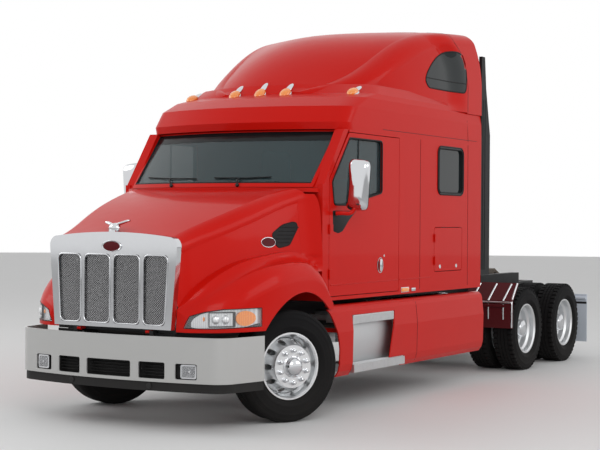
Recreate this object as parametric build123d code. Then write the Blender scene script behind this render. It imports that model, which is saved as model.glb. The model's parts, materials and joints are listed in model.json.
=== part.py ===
"""Conventional semi truck tractor unit: set-back front axle, raised-roof sleeper cab, tandem drive axles.

Frame: millimetres, +Z up, forward is -Y, the vehicle's left is +X.
The origin is on the ground, under the centre of the overall length and width.
"""

import math
import os

from build123d import *

os.makedirs("parts", exist_ok=True)

# ---------------------------------------------------------------- driving dimensions

front_overhang = 1300.0      # bumper face to front axle
wheelbase = 6000.0           # front axle to the middle of the tandem
tandem_spacing = 1320.0
rear_overhang = 860.0        # last axle to the end of the frame
overall_length = front_overhang + wheelbase + tandem_spacing / 2 + rear_overhang
front_axle_y = front_overhang - overall_length / 2


def behind(distance):
    """The Y of a place that many millimetres behind the front axle."""
    return front_axle_y + distance


rear_axle_ys = [behind(wheelbase - tandem_spacing / 2), behind(wheelbase + tandem_spacing / 2)]
tail_y = behind(wheelbase + tandem_spacing / 2 + rear_overhang)

running_gap = 0.3            # between parts that turn or slide on each other
panel_gap = 7.0              # shut line round doors and lids
seat_gap = 0.3               # between a piece and the seat that carries it

# wheels and tyres
tyre_radius = 502.0
tyre_width = 280.0
tread_width = 214.0
groove_depth = 12.0
groove_width = 9.0
bead_radius = 286.0
flange_radius = 300.0
rim_width = 210.0
rim_wall = 11.0
disc_wall = 22.0
wheel_bolt_circle = 285.75
wheel_bolts = 10
hand_holes = 10
hub_radius = 88.0
axle_z = tyre_radius

# steering
kingpin_x = 870.0
steer_tyre_x = 1040.0        # middle of the steered tyre, wheels straight
steer_at_rest = -25.7        # degrees, wheels turned to the right as parked
kingpin_radius = 24.0
spindle_radius = 40.0
steer_offset = 150.0         # wheel mounting face outboard of the tyre's middle
spindle_end_x = steer_tyre_x + 90.0
steer_arm_length = 190.0
steer_arm_half = 18.0
tie_pin_radius = 11.0

# drive axles
outer_dual_x = 1080.0
dual_spacing = 343.0
drive_spindle_radius = 46.0

# ladder frame
rail_outer_x = 432.0
rail_height = 270.0
rail_flange = 88.0
rail_wall = 9.0
frame_top_z = 1000.0
frame_front_y = behind(-1080.0)

# cab and sleeper
cab_half_width = 1140.0
cab_wall = 42.0
cab_back_y = behind(4040.0)
cab_bottom_z = 1055.0
cab_seam_z = 2670.0          # where the roof cap meets the side walls
door_front_y = behind(530.0)
door_back_y = behind(1960.0)
door_bottom_z = 1095.0
door_top_z = 2640.0
door_thickness = 56.0

# windscreen, as (y behind the axle at the middle, at the corner, z)
glass_thickness = 7.0

# hood
hood_wall = 14.0
hood_bottom_z = 850.0
hood_pivot_y = behind(-1225.0)
hood_pivot_z = 845.0
hood_pin_radius = 8.0
hood_arm_x = 372.0
hood_arm_half = 20.0

# bumper
bumper_bottom_z = 430.0
bumper_top_z = 815.0
bumper_wall = 12.0

# side fairings
fairing_x = 1205.0
fairing_top_z = 1010.0
fairing_bottom_z = 335.0
fairing_wall = 14.0

# fifth wheel
kingpin_bore_radius = 25.7
fifth_wheel_y = behind(wheelbase)
fifth_wheel_top_z = 1190.0


# ---------------------------------------------------------------- helpers

def box(x0, x1, y0, y1, z0, z1):
    """A block between two corners."""
    return Pos((x0 + x1) / 2, (y0 + y1) / 2, (z0 + z1) / 2) * Box(abs(x1 - x0), abs(y1 - y0), abs(z1 - z0))


def rod(start, end, radius):
    """A round bar from one point to another."""
    a, b = Vector(*start), Vector(*end)
    return Plane(origin=a, z_dir=b - a) * extrude(Circle(radius), (b - a).length)


def xz_plane(y):
    """A plane across the vehicle: sketch x is X, sketch y is Z."""
    return Plane(origin=(0, y, 0), x_dir=(1, 0, 0), z_dir=(0, -1, 0))


def yz_plane(x):
    """A plane along the vehicle: sketch x is Y, sketch y is Z."""
    return Plane(origin=(x, 0, 0), x_dir=(0, 1, 0), z_dir=(1, 0, 0))


def side_prism(outline, x0, x1):
    """A side-view outline of (y, z) points, as thick as from x0 to x1."""
    return yz_plane(min(x0, x1)) * extrude(make_face(Polyline(*outline, close=True)), abs(x1 - x0))


def front_prism(outline, y0, y1):
    """A front-view outline of (x, z) points, from y0 back to y1."""
    return xz_plane(y1) * extrude(make_face(Polyline(*outline, close=True)), y1 - y0)


def mirrored(shape):
    """The same piece on the vehicle's right."""
    return mirror(shape, about=Plane.YZ)


def both_sides(shape):
    """One node of two solids, left and right."""
    return Compound(children=[*shape.solids(), *mirrored(shape).solids()])


def about_x(profile, x=0.0):
    """A revolved part on an axle along X. The profile is a closed face in sketch x = X, sketch y = radius."""
    face = Plane(origin=(x, 0, 0), x_dir=(1, 0, 0), z_dir=(0, -1, 0)) * profile
    return revolve(face, Axis.X)


def save(shape, node):
    """Writes one node as solids."""
    solids = shape.solids()
    out = solids[0] if len(solids) == 1 else Compound(children=list(solids))
    export_step(out, f"parts/{node}.step")


# ---------------------------------------------------------------- wheels, modelled on the X axis, outer side to +X

def tyre(width=tyre_width):
    """A radial truck tyre with its tread grooves, centred on the origin."""
    half, bead, tread = width / 2, rim_width / 2 - 4.0 - seat_gap, tread_width / 2
    grooves = [-0.62 * tread, -0.21 * tread, 0.21 * tread, 0.62 * tread]
    crown = [(-tread, tyre_radius - 8.0)]
    for x in grooves:
        crown += [
            (x - groove_width, tyre_radius),
            (x - groove_width * 0.6, tyre_radius - groove_depth),
            (x + groove_width * 0.6, tyre_radius - groove_depth),
            (x + groove_width, tyre_radius),
        ]
    crown.append((tread, tyre_radius - 8.0))
    with BuildSketch() as section:
        with BuildLine():
            Polyline(*crown)
            ThreePointArc(crown[-1], (tread + 14.0, tyre_radius - 22.0), (tread + 19.0, tyre_radius - 44.0))
            ThreePointArc((tread + 19.0, tyre_radius - 44.0), (half, 398.0), (bead + 6.0, bead_radius + 22.0))
            Line((bead + 6.0, bead_radius + 22.0), (bead, flange_radius + 1.0))
            Line((bead, flange_radius + 1.0), (bead, bead_radius + seat_gap))
            Line((bead, bead_radius + seat_gap), (-bead, bead_radius + seat_gap))
            Line((-bead, bead_radius + seat_gap), (-bead, flange_radius + 1.0))
            Line((-bead, flange_radius + 1.0), (-bead - 6.0, bead_radius + 22.0))
            ThreePointArc((-bead - 6.0, bead_radius + 22.0), (-half, 398.0), (-tread - 19.0, tyre_radius - 44.0))
            ThreePointArc((-tread - 19.0, tyre_radius - 44.0), (-tread - 14.0, tyre_radius - 22.0), crown[0])
        make_face()
    return about_x(section.sketch)


def rim(disc_x, dish):
    """A forged disc wheel. disc_x is the mounting face, dish how far the disc runs from there to the rim."""
    half = rim_width / 2
    web_x = disc_x + dish
    well = bead_radius - 34.0
    barrel = [
        (half + 6.0, flange_radius), (half + 6.0, flange_radius - 14.0), (half - 10.0, bead_radius - rim_wall),
        (half - 62.0, bead_radius - rim_wall - 4.0), (half - 86.0, well), (-half + 50.0, well),
        (-half + 34.0, bead_radius - rim_wall - 4.0), (-half + 4.0, bead_radius - rim_wall),
        (-half - 6.0, flange_radius - 14.0), (-half - 6.0, flange_radius), (-half + 4.0, flange_radius),
        (-half + 4.0, bead_radius), (-half + 42.0, bead_radius - 4.0), (-half + 56.0, well + rim_wall),
        (half - 92.0, well + rim_wall), (half - 70.0, bead_radius - 4.0), (half - 4.0, bead_radius),
        (half - 4.0, flange_radius),
    ]
    disc = [
        (web_x + 10.0, well + 7.0), (disc_x, 190.0), (disc_x, 60.0), (disc_x - disc_wall, 60.0),
        (disc_x - disc_wall, 186.0), (web_x - 10.0, well + 7.0),
    ]
    wheel = about_x(make_face(Polyline(*barrel, close=True))) + about_x(make_face(Polyline(*disc, close=True)))
    hole_ring = 0.5 * (190.0 + well)
    for i in range(hand_holes):
        turn = Rot(360.0 * (i + 0.5) / hand_holes, 0, 0)
        wheel -= turn * Pos(disc_x, 0, hole_ring) * Rot(0, 90, 0) * Cylinder(25.0, 260.0)
    return wheel


def wheel_nuts(face_x):
    """The ring of nuts on a mounting face."""
    nut = Pos(face_x + 14.0, 0, wheel_bolt_circle / 2) * Rot(0, 90, 0) * Cylinder(17.0, 28.0)
    return [Rot(360.0 * i / wheel_bolts, 0, 0) * nut for i in range(wheel_bolts)]


def front_wheel():
    """Rim, hub, drum and nuts of the steered wheel, in one piece. The origin is the tyre's middle."""
    face_x = steer_offset
    wheel = rim(face_x, -steer_offset - 18.0)
    inner_x = kingpin_x - steer_tyre_x + 95.0
    hub = Pos((face_x + inner_x) / 2, 0, 0) * Rot(0, 90, 0) * Cylinder(112.0, face_x - inner_x)
    cap = about_x(make_face(Polyline(
        (face_x - 1.0, 0), (face_x + 62.0, 0), (face_x + 56.0, 40.0), (face_x + 34.0, 74.0), (face_x + 8.0, hub_radius),
        (face_x - 1.0, hub_radius), close=True)))
    drum = about_x(make_face(Polyline(
        (inner_x, 112.0), (inner_x, 206.0), (inner_x + 120.0, 206.0), (inner_x + 120.0, 100.0),
        (inner_x + 100.0, 100.0), (inner_x + 100.0, 190.0), (inner_x + 12.0, 190.0), (inner_x + 12.0, 112.0),
        close=True)))
    bore_end = spindle_end_x - steer_tyre_x + 20.0
    bore = Pos(bore_end - 200.0, 0, 0) * Rot(0, 90, 0) * Cylinder(spindle_radius + running_gap, 400.0)
    return wheel + hub + cap + drum + wheel_nuts(face_x) - bore


def drive_wheels():
    """The two rims, hub and drum of one end of a drive axle. The origin is the outer tyre's middle."""
    face_x = -dual_spacing / 2 + disc_wall
    outer = rim(face_x, -face_x - 42.0)
    inner = Pos(-dual_spacing, 0, 0) * mirrored(outer)
    hub_end, hub_start = 70.0, -dual_spacing - 60.0
    hub = Pos((hub_end + hub_start) / 2, 0, 0) * Rot(0, 90, 0) * Cylinder(100.0, hub_end - hub_start)
    cap = about_x(make_face(Polyline(
        (hub_end, 0), (hub_end + 12.0, 0), (hub_end + 12.0, 48.0), (hub_end, 70.0), close=True)))
    drum = Pos(hub_start - 20.0, 0, 0) * Rot(0, 90, 0) * Cylinder(208.0, 130.0)
    bore = Pos((hub_end - 40.0 + hub_start - 100.0) / 2, 0, 0) * Rot(0, 90, 0)
    bore = bore * Cylinder(drive_spindle_radius + running_gap, hub_end - 40.0 - hub_start + 100.0)
    return outer + inner + hub + cap + drum + wheel_nuts(face_x) - bore


def steered(shape):
    """A piece of the left steered end, turned about its kingpin as parked."""
    pin = Pos(kingpin_x, front_axle_y, axle_z)
    return pin * Rot(0, 0, steer_at_rest) * Pos(-kingpin_x, 0, 0) * shape


def steered_right(shape):
    """A piece of the right steered end, modelled at +X before mirroring, turned about its kingpin as parked."""
    pin = Pos(-kingpin_x, front_axle_y, axle_z)
    return pin * Rot(0, 0, steer_at_rest) * Pos(kingpin_x, 0, 0) * mirrored(shape)


def wheel_parts():
    """All tyres and wheels."""
    steer_tyre = Pos(steer_tyre_x, 0, 0) * tyre()
    steer_rim = Pos(steer_tyre_x, 0, 0) * front_wheel()
    save(steered(steer_tyre), "tyre_front_left")
    save(steered_right(steer_tyre), "tyre_front_right")
    save(steered(steer_rim), "wheel_front_left")
    save(steered_right(steer_rim), "wheel_front_right")
    one = tyre()
    pair = Compound(children=[Pos(outer_dual_x, 0, 0) * one, Pos(outer_dual_x - dual_spacing, 0, 0) * one])
    rims = Pos(outer_dual_x, 0, 0) * drive_wheels()
    for axle, y in zip(("mid", "rear"), rear_axle_ys):
        place = Pos(0, y, axle_z)
        save(place * pair, f"tyres_{axle}_left")
        save(place * mirrored(pair), f"tyres_{axle}_right")
        save(place * rims, f"wheels_{axle}_left")
        save(place * mirrored(rims), f"wheels_{axle}_right")


# ---------------------------------------------------------------- axles, steering and springs

def front_axle():
    """The drop-centre I-beam with its kingpins and leaf springs."""
    top, depth = 0.0, 104.0
    beam_line = [
        (-kingpin_x, top), (-kingpin_x + 120, top), (-620, -70), (620, -70), (kingpin_x - 120, top), (kingpin_x, top),
        (kingpin_x, top - depth), (kingpin_x - 140, top - depth), (610, -70 - depth), (-610, -70 - depth),
        (-kingpin_x + 140, top - depth), (-kingpin_x, top - depth),
    ]
    beam_z = axle_z + depth / 2
    outline = [(x, z + beam_z) for x, z in beam_line]
    beam = front_prism(outline, front_axle_y - 55.0, front_axle_y + 55.0)
    recess = [(-600.0, beam_z - 92.0), (600.0, beam_z - 92.0), (600.0, beam_z - 152.0), (-600.0, beam_z - 152.0)]
    for side in (-1, 1):
        beam -= front_prism(recess, front_axle_y + side * 55.0 - 35.0, front_axle_y + side * 55.0 + 35.0)
    for side in (-1, 1):
        x = side * kingpin_x
        boss = Pos(x, front_axle_y, axle_z) * Cylinder(52.0, depth)
        beam += boss + Pos(x, front_axle_y, axle_z) * Cylinder(kingpin_radius, 300.0)
    save(beam, "front_axle")


leaf_count = 3
leaf_thickness = 17.0
leaf_width = 90.0
front_spring_x = rail_outer_x - 32.0
front_spring_half = 720.0


def front_springs():
    """Leaf packs on the front axle, from hanger to shackle under the rails."""
    pad_z = axle_z + 52.0 - 70.0 + seat_gap
    eye_z = frame_top_z - rail_height - 60.0
    packs = []
    for side in (-1, 1):
        x = side * front_spring_x
        pack = None
        for leaf in range(leaf_count):
            half = front_spring_half * (1.0 - 0.22 * (leaf_count - 1 - leaf))
            base = pad_z + leaf * leaf_thickness
            rise = (eye_z - pad_z - leaf_count * leaf_thickness) * (half / front_spring_half) ** 2
            line = [
                (front_axle_y - half, base + rise), (front_axle_y, base), (front_axle_y + half, base + rise),
                (front_axle_y + half, base + rise + leaf_thickness), (front_axle_y, base + leaf_thickness),
                (front_axle_y - half, base + rise + leaf_thickness),
            ]
            with BuildSketch() as strip:
                with BuildLine():
                    low = ThreePointArc(line[0], line[1], line[2])
                    Line(line[2], line[3])
                    ThreePointArc(line[3], line[4], line[5])
                    Line(line[5], line[0])
                make_face()
            leaf_solid = yz_plane(x - leaf_width / 2) * extrude(strip.sketch, leaf_width)
            pack = leaf_solid if pack is None else pack + leaf_solid
        for end in (-1, 1):
            y = front_axle_y + end * front_spring_half
            hanger = box(x - 30.0, x + 30.0, y - 45.0, y + 45.0, eye_z - 30.0, frame_top_z - rail_height - seat_gap)
            pack += hanger
        pack += box(x - 55.0, x + 55.0, front_axle_y - 90.0, front_axle_y + 90.0, pad_z, pad_z + 90.0)
        packs.append(pack)
    save(Compound(children=[s for p in packs for s in p.solids()]), "front_springs")


def knuckle():
    """Left steering knuckle about its kingpin: two ears, spindle, back plate and tie rod arm. Modelled at kingpin_x."""
    ear_half, ear_gap = 42.0, 104.0 / 2 + running_gap
    ears = None
    for side in (-1, 1):
        z0, z1 = sorted((side * ear_gap, side * (ear_gap + ear_half)))
        ear = Pos(kingpin_x, 0, (z0 + z1) / 2) * Cylinder(54.0, ear_half)
        ear += box(kingpin_x, kingpin_x + 70.0, -50.0, 50.0, z0, z1)
        ears = ear if ears is None else ears + ear
    body = ears + box(kingpin_x + 58.0, kingpin_x + 84.0, -66.0, 66.0, -ear_gap - ear_half, ear_gap + ear_half)
    body += rod((kingpin_x + 70.0, 0, 0), (spindle_end_x, 0, 0), spindle_radius)
    body -= Pos(kingpin_x, 0, 0) * Cylinder(kingpin_radius + running_gap, 400.0)
    arm_z = -ear_gap - ear_half / 2
    arm = box(kingpin_x - 24.0, kingpin_x + 24.0, 0.0, steer_arm_length, arm_z - steer_arm_half, arm_z + steer_arm_half)
    arm -= Pos(kingpin_x, 0, 0) * Cylinder(kingpin_radius + 20.0, 400.0)
    body += arm
    eye = Pos(kingpin_x, steer_arm_length, arm_z)
    body += eye * Cylinder(30.0, 2 * steer_arm_half)
    body -= eye * Cylinder(tie_pin_radius + running_gap, 80.0)
    return body


def tie_rod():
    """The rod between the two steering arms, with a pin up through each arm's eye."""
    turn = math.radians(steer_at_rest)
    eye_y = front_axle_y + steer_arm_length * math.cos(turn)
    shift = -steer_arm_length * math.sin(turn)
    arm_z = axle_z - 104.0 / 2 - running_gap - 21.0
    z = arm_z - steer_arm_half - running_gap - 22.0
    bar = rod((-kingpin_x + shift, eye_y, z), (kingpin_x + shift, eye_y, z), 20.0)
    for x in (-kingpin_x + shift, kingpin_x + shift):
        bar += Pos(x, eye_y, z) * Cylinder(28.0, 44.0)
        bar += Pos(x, eye_y, z + 30.0) * Cylinder(tie_pin_radius, 60.0)
    return bar


def steering_parts():
    """Knuckles and tie rod."""
    left = knuckle()
    save(steered(left), "knuckle_left")
    save(steered_right(left), "knuckle_right")
    save(tie_rod(), "tie_rod")


def rear_axles():
    """Two drive axles with their bowls, and the shafts that turn them."""
    solids = []
    for y in rear_axle_ys:
        end = outer_dual_x + 40.0
        axle = rod((-560.0, y, axle_z), (560.0, y, axle_z), 68.0)
        axle += rod((-end + 20.0, y, axle_z), (end - 20.0, y, axle_z), drive_spindle_radius)
        axle += Pos(0, y, axle_z) * scale(Sphere(205.0), (1.0, 0.8, 1.0))
        axle += rod((0, y - 250.0, axle_z + 30.0), (0, y, axle_z + 30.0), 92.0)
        solids.append(axle)
    first, second = solids
    shaft = rod((0, behind(1400.0) + 4.0, 700.0), (0, rear_axle_ys[0] - 230.0, axle_z + 30.0), 50.0)
    link = rod((0, rear_axle_ys[0] + 100.0, axle_z + 30.0), (0, rear_axle_ys[1] - 240.0, axle_z + 30.0), 45.0)
    save(first + second + link + shaft, "rear_axles")


air_spring_radius = 118.0


def rear_suspension():
    """Trailing arms under each drive axle, with an air spring behind it and a hanger ahead."""
    solids = []
    rail_bottom = frame_top_z - rail_height
    for y in rear_axle_ys:
        for side in (-1, 1):
            x = side * (rail_outer_x - rail_flange / 2)
            arm = side_prism([
                (y - 520.0, rail_bottom - 190.0), (y - 430.0, rail_bottom - 170.0), (y - 90.0, axle_z - 68.0 - seat_gap),
                (y + 90.0, axle_z - 68.0 - seat_gap), (y + 470.0, axle_z - 60.0), (y + 470.0, axle_z - 110.0),
                (y - 120.0, axle_z - 130.0), (y - 520.0, rail_bottom - 270.0),
            ], x - 38.0, x + 38.0)
            hanger = box(x - 50.0, x + 50.0, y - 560.0, y - 440.0, rail_bottom - 290.0, rail_bottom - seat_gap)
            bag_bottom, bag_top = axle_z - 60.0, rail_bottom - seat_gap
            bag = Pos(x, y + 360.0, (bag_bottom + bag_top) / 2) * Cylinder(air_spring_radius, bag_top - bag_bottom)
            solids.append(arm + hanger + bag)
    save(Compound(children=[s for part in solids for s in part.solids()]), "rear_suspension")


# ---------------------------------------------------------------- frame, power unit, tanks

crossmember_places = [-820.0, 1620.0, 2250.0, 2950.0, 3850.0, 4650.0, 5480.0, 6000.0, 6520.0, 7200.0]


def chassis_frame():
    """C-section rails joined by crossmembers."""
    length = tail_y - 40.0 - frame_front_y
    bottom = frame_top_z - rail_height
    frame = None
    for side in (-1, 1):
        outer, inner = side * rail_outer_x, side * (rail_outer_x - rail_flange)
        rail = box(outer, inner, frame_front_y, frame_front_y + length, bottom, frame_top_z)
        rail -= box(outer - side * rail_wall, inner - side * 5.0, frame_front_y - 5.0, frame_front_y + length + 5.0,
                    bottom + rail_wall, frame_top_z - rail_wall)
        frame = rail if frame is None else frame + rail
    reach = rail_outer_x - rail_wall / 2
    for place in crossmember_places:
        y = behind(place)
        low = bottom + 20.0 if place > 0 else bottom + 10.0
        frame += box(-reach, reach, y - 6.0, y + 6.0, low + 30.0, frame_top_z - 40.0)
        frame += box(-reach, reach, y - 50.0, y + 50.0, low + 30.0, low + 40.0)
    frame += box(-rail_outer_x, rail_outer_x, tail_y - 60.0, tail_y - 40.0, bottom, frame_top_z)
    for side in (-1, 1):
        outer, inner = side * rail_outer_x, side * (rail_outer_x - rail_wall)
        frame += box(outer, inner, behind(-1200.0), frame_front_y + 20.0, 745.0, 810.0)
        horn_x, pin_x = side * (hood_arm_x + hood_arm_half + 2.0), side * (hood_arm_x - hood_arm_half)
        frame += box(outer, horn_x, hood_pivot_y - 12.0, hood_pivot_y + 30.0, 745.0, 857.0)
        frame += rod((pin_x, hood_pivot_y, hood_pivot_z), (outer, hood_pivot_y, hood_pivot_z), hood_pin_radius)
    save(frame, "chassis_frame")


def power_unit():
    """Engine and gearbox as one plain block, and the radiator that shows through the grille."""
    engine = box(-330.0, 330.0, behind(-700.0), behind(380.0), 650.0, 1560.0)
    gearbox = box(-230.0, 230.0, behind(380.0), behind(1400.0), 650.0, 1020.0)
    mounts = box(-rail_outer_x + rail_wall + seat_gap, rail_outer_x - rail_wall - seat_gap, behind(-60.0), behind(60.0),
                 frame_top_z - rail_height + rail_wall + 30.0, frame_top_z - rail_wall - 30.0)
    engine += mounts
    save(engine + gearbox, "engine_block")
    radiator = box(-480.0, 480.0, behind(-1040.0), behind(-900.0), frame_top_z + seat_gap, 1560.0)
    radiator += box(-310.0, 310.0, behind(-1040.0), behind(-900.0), 800.0, frame_top_z + seat_gap)
    save(radiator, "radiator")


tank_radius = 300.0
tank_x = 775.0


def fuel_tanks():
    """Cylindrical tanks on the rails behind the side fairings, on strap brackets."""
    z = 690.0
    tank = rod((tank_x, behind(2150.0), z), (tank_x, behind(3800.0), z), tank_radius)
    for place in (2450.0, 3500.0):
        y = behind(place)
        tank += box(rail_outer_x + seat_gap, tank_x, y - 35.0, y + 35.0, z - tank_radius - 8.0, z - 60.0)
        tank += box(rail_outer_x + seat_gap, tank_x, y - 35.0, y + 35.0, z - 60.0, z + 200.0)
    save(both_sides(tank), "fuel_tanks")


def exhaust():
    """A muffler slung from the right rail, with its tail pipe turned down ahead of the tank."""
    x, z, radius = -650.0, 610.0, 125.0
    can = rod((x, behind(1050.0), z), (x, behind(1800.0), z), radius)
    pipe = rod((x, behind(1795.0), z), (x, behind(2060.0), z - 60.0), 55.0)
    strap = box(-rail_outer_x - seat_gap, x, behind(1390.0), behind(1450.0), z + 100.0, z + 150.0)
    hanger = box(x - 25.0, x + 25.0, behind(1390.0), behind(1450.0), z, z + 150.0)
    save(can + pipe + strap + hanger, "exhaust")


# ---------------------------------------------------------------- bumper

def bumper_line(inset):
    """The bumper's front curve in plan, moved inwards by inset: points for an arc, a corner arc and a side line."""
    x = lambda value: value - inset * 0.7
    y = lambda value: behind(value) + inset
    return [
        (0.0, y(-1300.0)), (x(520.0), y(-1275.0)), (x(980.0), y(-1190.0)), (x(1085.0), y(-1130.0)),
        (x(1135.0), y(-1020.0)), (x(1208.0), y(-690.0) - inset),
    ]


def bumper_band(outer_inset, inner_inset, z0, z1):
    """A bumper-shaped band between two insets."""
    def half(inset):
        m, a, b, c, d, e = bumper_line(inset)
        return [ThreePointArc((-b[0], b[1]), m, b), ThreePointArc(b, c, d), Line(d, e)]

    outer, inner = half(outer_inset), half(inner_inset)
    m, a, b, c, d, e = bumper_line(outer_inset)
    m2, _, b2, c2, d2, e2 = bumper_line(inner_inset)
    flip = lambda p: (-p[0], p[1])
    edges = [
        *outer, Line(e, e2), Line(e2, d2), ThreePointArc(d2, c2, b2), ThreePointArc(b2, m2, flip(b2)),
        ThreePointArc(flip(b2), flip(c2), flip(d2)), Line(flip(d2), flip(e2)), Line(flip(e2), flip(e)),
        Line(flip(e), flip(d)), ThreePointArc(flip(d), flip(c), flip(b)),
    ]
    return Pos(0, 0, z0) * extrude(make_face(Wire(edges)), z1 - z0)


# bumper openings as (middle x, half width, half height)
duct_z = 527.0
bumper_ducts = [(0.0, 237.0, 70.0), (447.0, 128.0, 70.0), (772.0, 100.0, 66.0)]


def bumper():
    """Polished bumper with ducts, the black valance under it and lamps in its outer openings."""
    face = bumper_band(0.0, bumper_wall, bumper_bottom_z, bumper_top_z)
    for x, half_w, half_h in bumper_ducts:
        for side in ((0,) if x == 0 else (-1, 1)):
            hole = extrude(RectangleRounded(2 * half_w, 2 * half_h, 16.0), 400.0)
            face -= xz_plane(behind(-1000.0)) * Pos(side * x, duct_z) * hole
    for side in (-1, 1):
        inner = rail_outer_x + seat_gap
        face += box(side * inner, side * (inner + 38.0), behind(-1284.0), frame_front_y + 60.0, 745.0, 800.0)
    save(face, "front_bumper")
    low = bumper_band(bumper_wall + seat_gap, bumper_wall + 18.0, 352.0, bumper_bottom_z + 24.0)
    save(low, "bumper_valance")
    x, half_w, half_h = bumper_ducts[-1]
    low_z, high_z = duct_z - half_h - 5.0, duct_z + half_h + 5.0
    lamp = box(x - half_w - 10.0, x + half_w + 10.0, behind(-1300.0), behind(-1140.0), low_z, high_z)
    lamp -= bumper_band(-80.0, bumper_wall + seat_gap, 300.0, 700.0)
    save(both_sides(lamp), "fog_lamps")


# ---------------------------------------------------------------- hood, hinged at its front lower edge

hood_front = -1190.0
# hood body across the vehicle: (behind the axle, low half width, shoulder x, shoulder z, crown z)
hood_sections = [
    (hood_front, 632.0, 690.0, 1600.0, 1690.0),
    (-700.0, 905.0, 800.0, 1765.0, 1868.0),
    (-250.0, 1030.0, 900.0, 1915.0, 2015.0),
    (130.0, 1085.0, 960.0, 2030.0, 2105.0),
    (400.0, 1150.0, 1080.0, 2085.0, 2150.0),
]
# front fender: (behind the axle, brow x, brow z, ridge x, ridge z, outer x, z where the outer face turns upright)
fender_sections = [
    (hood_front, 655.0, 1040.0, 690.0, 1008.0, 742.0, 930.0),
    (-1050.0, 795.0, 1215.0, 870.0, 1150.0, 985.0, 1000.0),
    (-800.0, 900.0, 1375.0, 1005.0, 1292.0, 1120.0, 1090.0),
    (-480.0, 985.0, 1468.0, 1105.0, 1392.0, 1190.0, 1185.0),
    (-60.0, 1030.0, 1515.0, 1145.0, 1422.0, fairing_x, 1235.0),
    (300.0, 1090.0, 1410.0, 1160.0, 1330.0, fairing_x, 1195.0),
    (470.0, 1148.0, 1120.0, 1172.0, 1102.0, fairing_x, 1070.0),
    (640.0, 1160.0, 988.0, 1176.0, 984.0, fairing_x, 968.0),
]
tail_inner_x = cab_half_width + panel_gap
hood_back_centre = -20.0     # the rear edge bows forward in the middle
hood_back_corner = 388.0
fender_back_z = 985.0        # the fender's tail ends here, above the side fairing
fender_tail_end = 505.0      # in front of the door's hinges


def hood_section(row, inset):
    """One slice of the hood body."""
    y, low_x, shoulder_x, shoulder_z, crown_z = row
    low_x, shoulder_x, shoulder_z, crown_z = low_x - inset, shoulder_x - inset, shoulder_z - inset, crown_z - inset
    top_x = shoulder_x - 90.0
    top_z = shoulder_z + (crown_z - shoulder_z) * 0.62
    bottom = hood_bottom_z - (40.0 if inset else 0.0)
    side_z = shoulder_z - 90.0
    side_x = shoulder_x + (low_x - shoulder_x) * 90.0 / (shoulder_z - hood_bottom_z)
    mid = (shoulder_x - 18.0, (side_z + top_z) / 2 + 30.0)
    flip = lambda p: (-p[0], p[1])
    low, side, top = (low_x, bottom), (side_x, side_z), (top_x, top_z)
    edges = [
        Line(low, side), ThreePointArc(side, mid, top), ThreePointArc(top, (0, crown_z), flip(top)),
        ThreePointArc(flip(top), flip(mid), flip(side)), Line(flip(side), flip(low)), Line(flip(low), low),
    ]
    return xz_plane(behind(y)) * make_face(Wire(edges))


def fender_section(row, inset):
    """One slice of the left fender."""
    y, brow_x, brow_z, ridge_x, ridge_z, outer_x, upright_z = row
    root_x = 560.0
    brow_x, brow_z = brow_x - inset * 0.5, brow_z - inset
    ridge_x, ridge_z = ridge_x - inset * 0.5, ridge_z - inset
    outer_x, upright_z = outer_x - inset, upright_z - inset * 0.9
    bottom = hood_bottom_z - (40.0 if inset else 0.0)
    hollow = (brow_x + (ridge_x - brow_x) * 0.42, ridge_z + (brow_z - ridge_z) * 0.30)
    round_over = (ridge_x + (outer_x - ridge_x) * 0.68, upright_z + (ridge_z - upright_z) * 0.64)
    root, brow, ridge, outer = (root_x, bottom), (brow_x, brow_z), (ridge_x, ridge_z), (outer_x, upright_z)
    edges = [
        Line(root, (root_x, brow_z)), Line((root_x, brow_z), brow), ThreePointArc(brow, hollow, ridge),
        ThreePointArc(ridge, round_over, outer), Line(outer, (outer_x, bottom)), Line((outer_x, bottom), root),
    ]
    return xz_plane(behind(y)) * make_face(Wire(edges))


def hood_block(inset):
    """The hood and both fenders as one solid, moved inwards by inset."""
    stretch = 30.0 if inset else 0.0
    rows = [list(row) for row in hood_sections]
    rows[0][0] -= stretch
    rows[-1][0] += stretch
    block = loft([hood_section(row, inset) for row in rows])
    rows = [list(row) for row in fender_sections]
    rows[0][0] += inset
    rows[-1][0] -= inset
    fender = loft([fender_section(row, inset) for row in rows])
    return block + fender + mirrored(fender)


def arch_cutter(reach_in):
    """The wheel opening in side view, from reach_in out past the fender."""
    arch = [
        (behind(-700.0), 700.0), (behind(-400.0), 1045.0), (behind(28.0), 1159.0), (behind(440.0), 975.0),
        (behind(642.0), 600.0),
    ]
    floor_z = 200.0
    with BuildSketch() as outline:
        with BuildLine():
            ThreePointArc(arch[0], arch[1], arch[2])
            ThreePointArc(arch[2], arch[3], arch[4])
            Line(arch[4], (arch[4][0], floor_z))
            Line((arch[4][0], floor_z), (arch[0][0], floor_z))
            Line((arch[0][0], floor_z), arch[0])
        make_face()
    return yz_plane(reach_in) * extrude(outline.sketch, 500.0)


def behind_hood():
    """What lies behind the hood's rear edge: a bowed cut above the fenders."""
    left, right = (-tail_inner_x, behind(hood_back_corner)), (tail_inner_x, behind(hood_back_corner))
    far_left, far_right = (-tail_inner_x, behind(900.0)), (tail_inner_x, behind(900.0))
    with BuildSketch() as plan:
        with BuildLine():
            ThreePointArc(left, (0, behind(hood_back_centre)), right)
            Line(right, far_right)
            Line(far_right, far_left)
            Line(far_left, left)
        make_face()
    return Pos(0, 0, 700.0) * extrude(plan.sketch, 1600.0)


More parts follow.
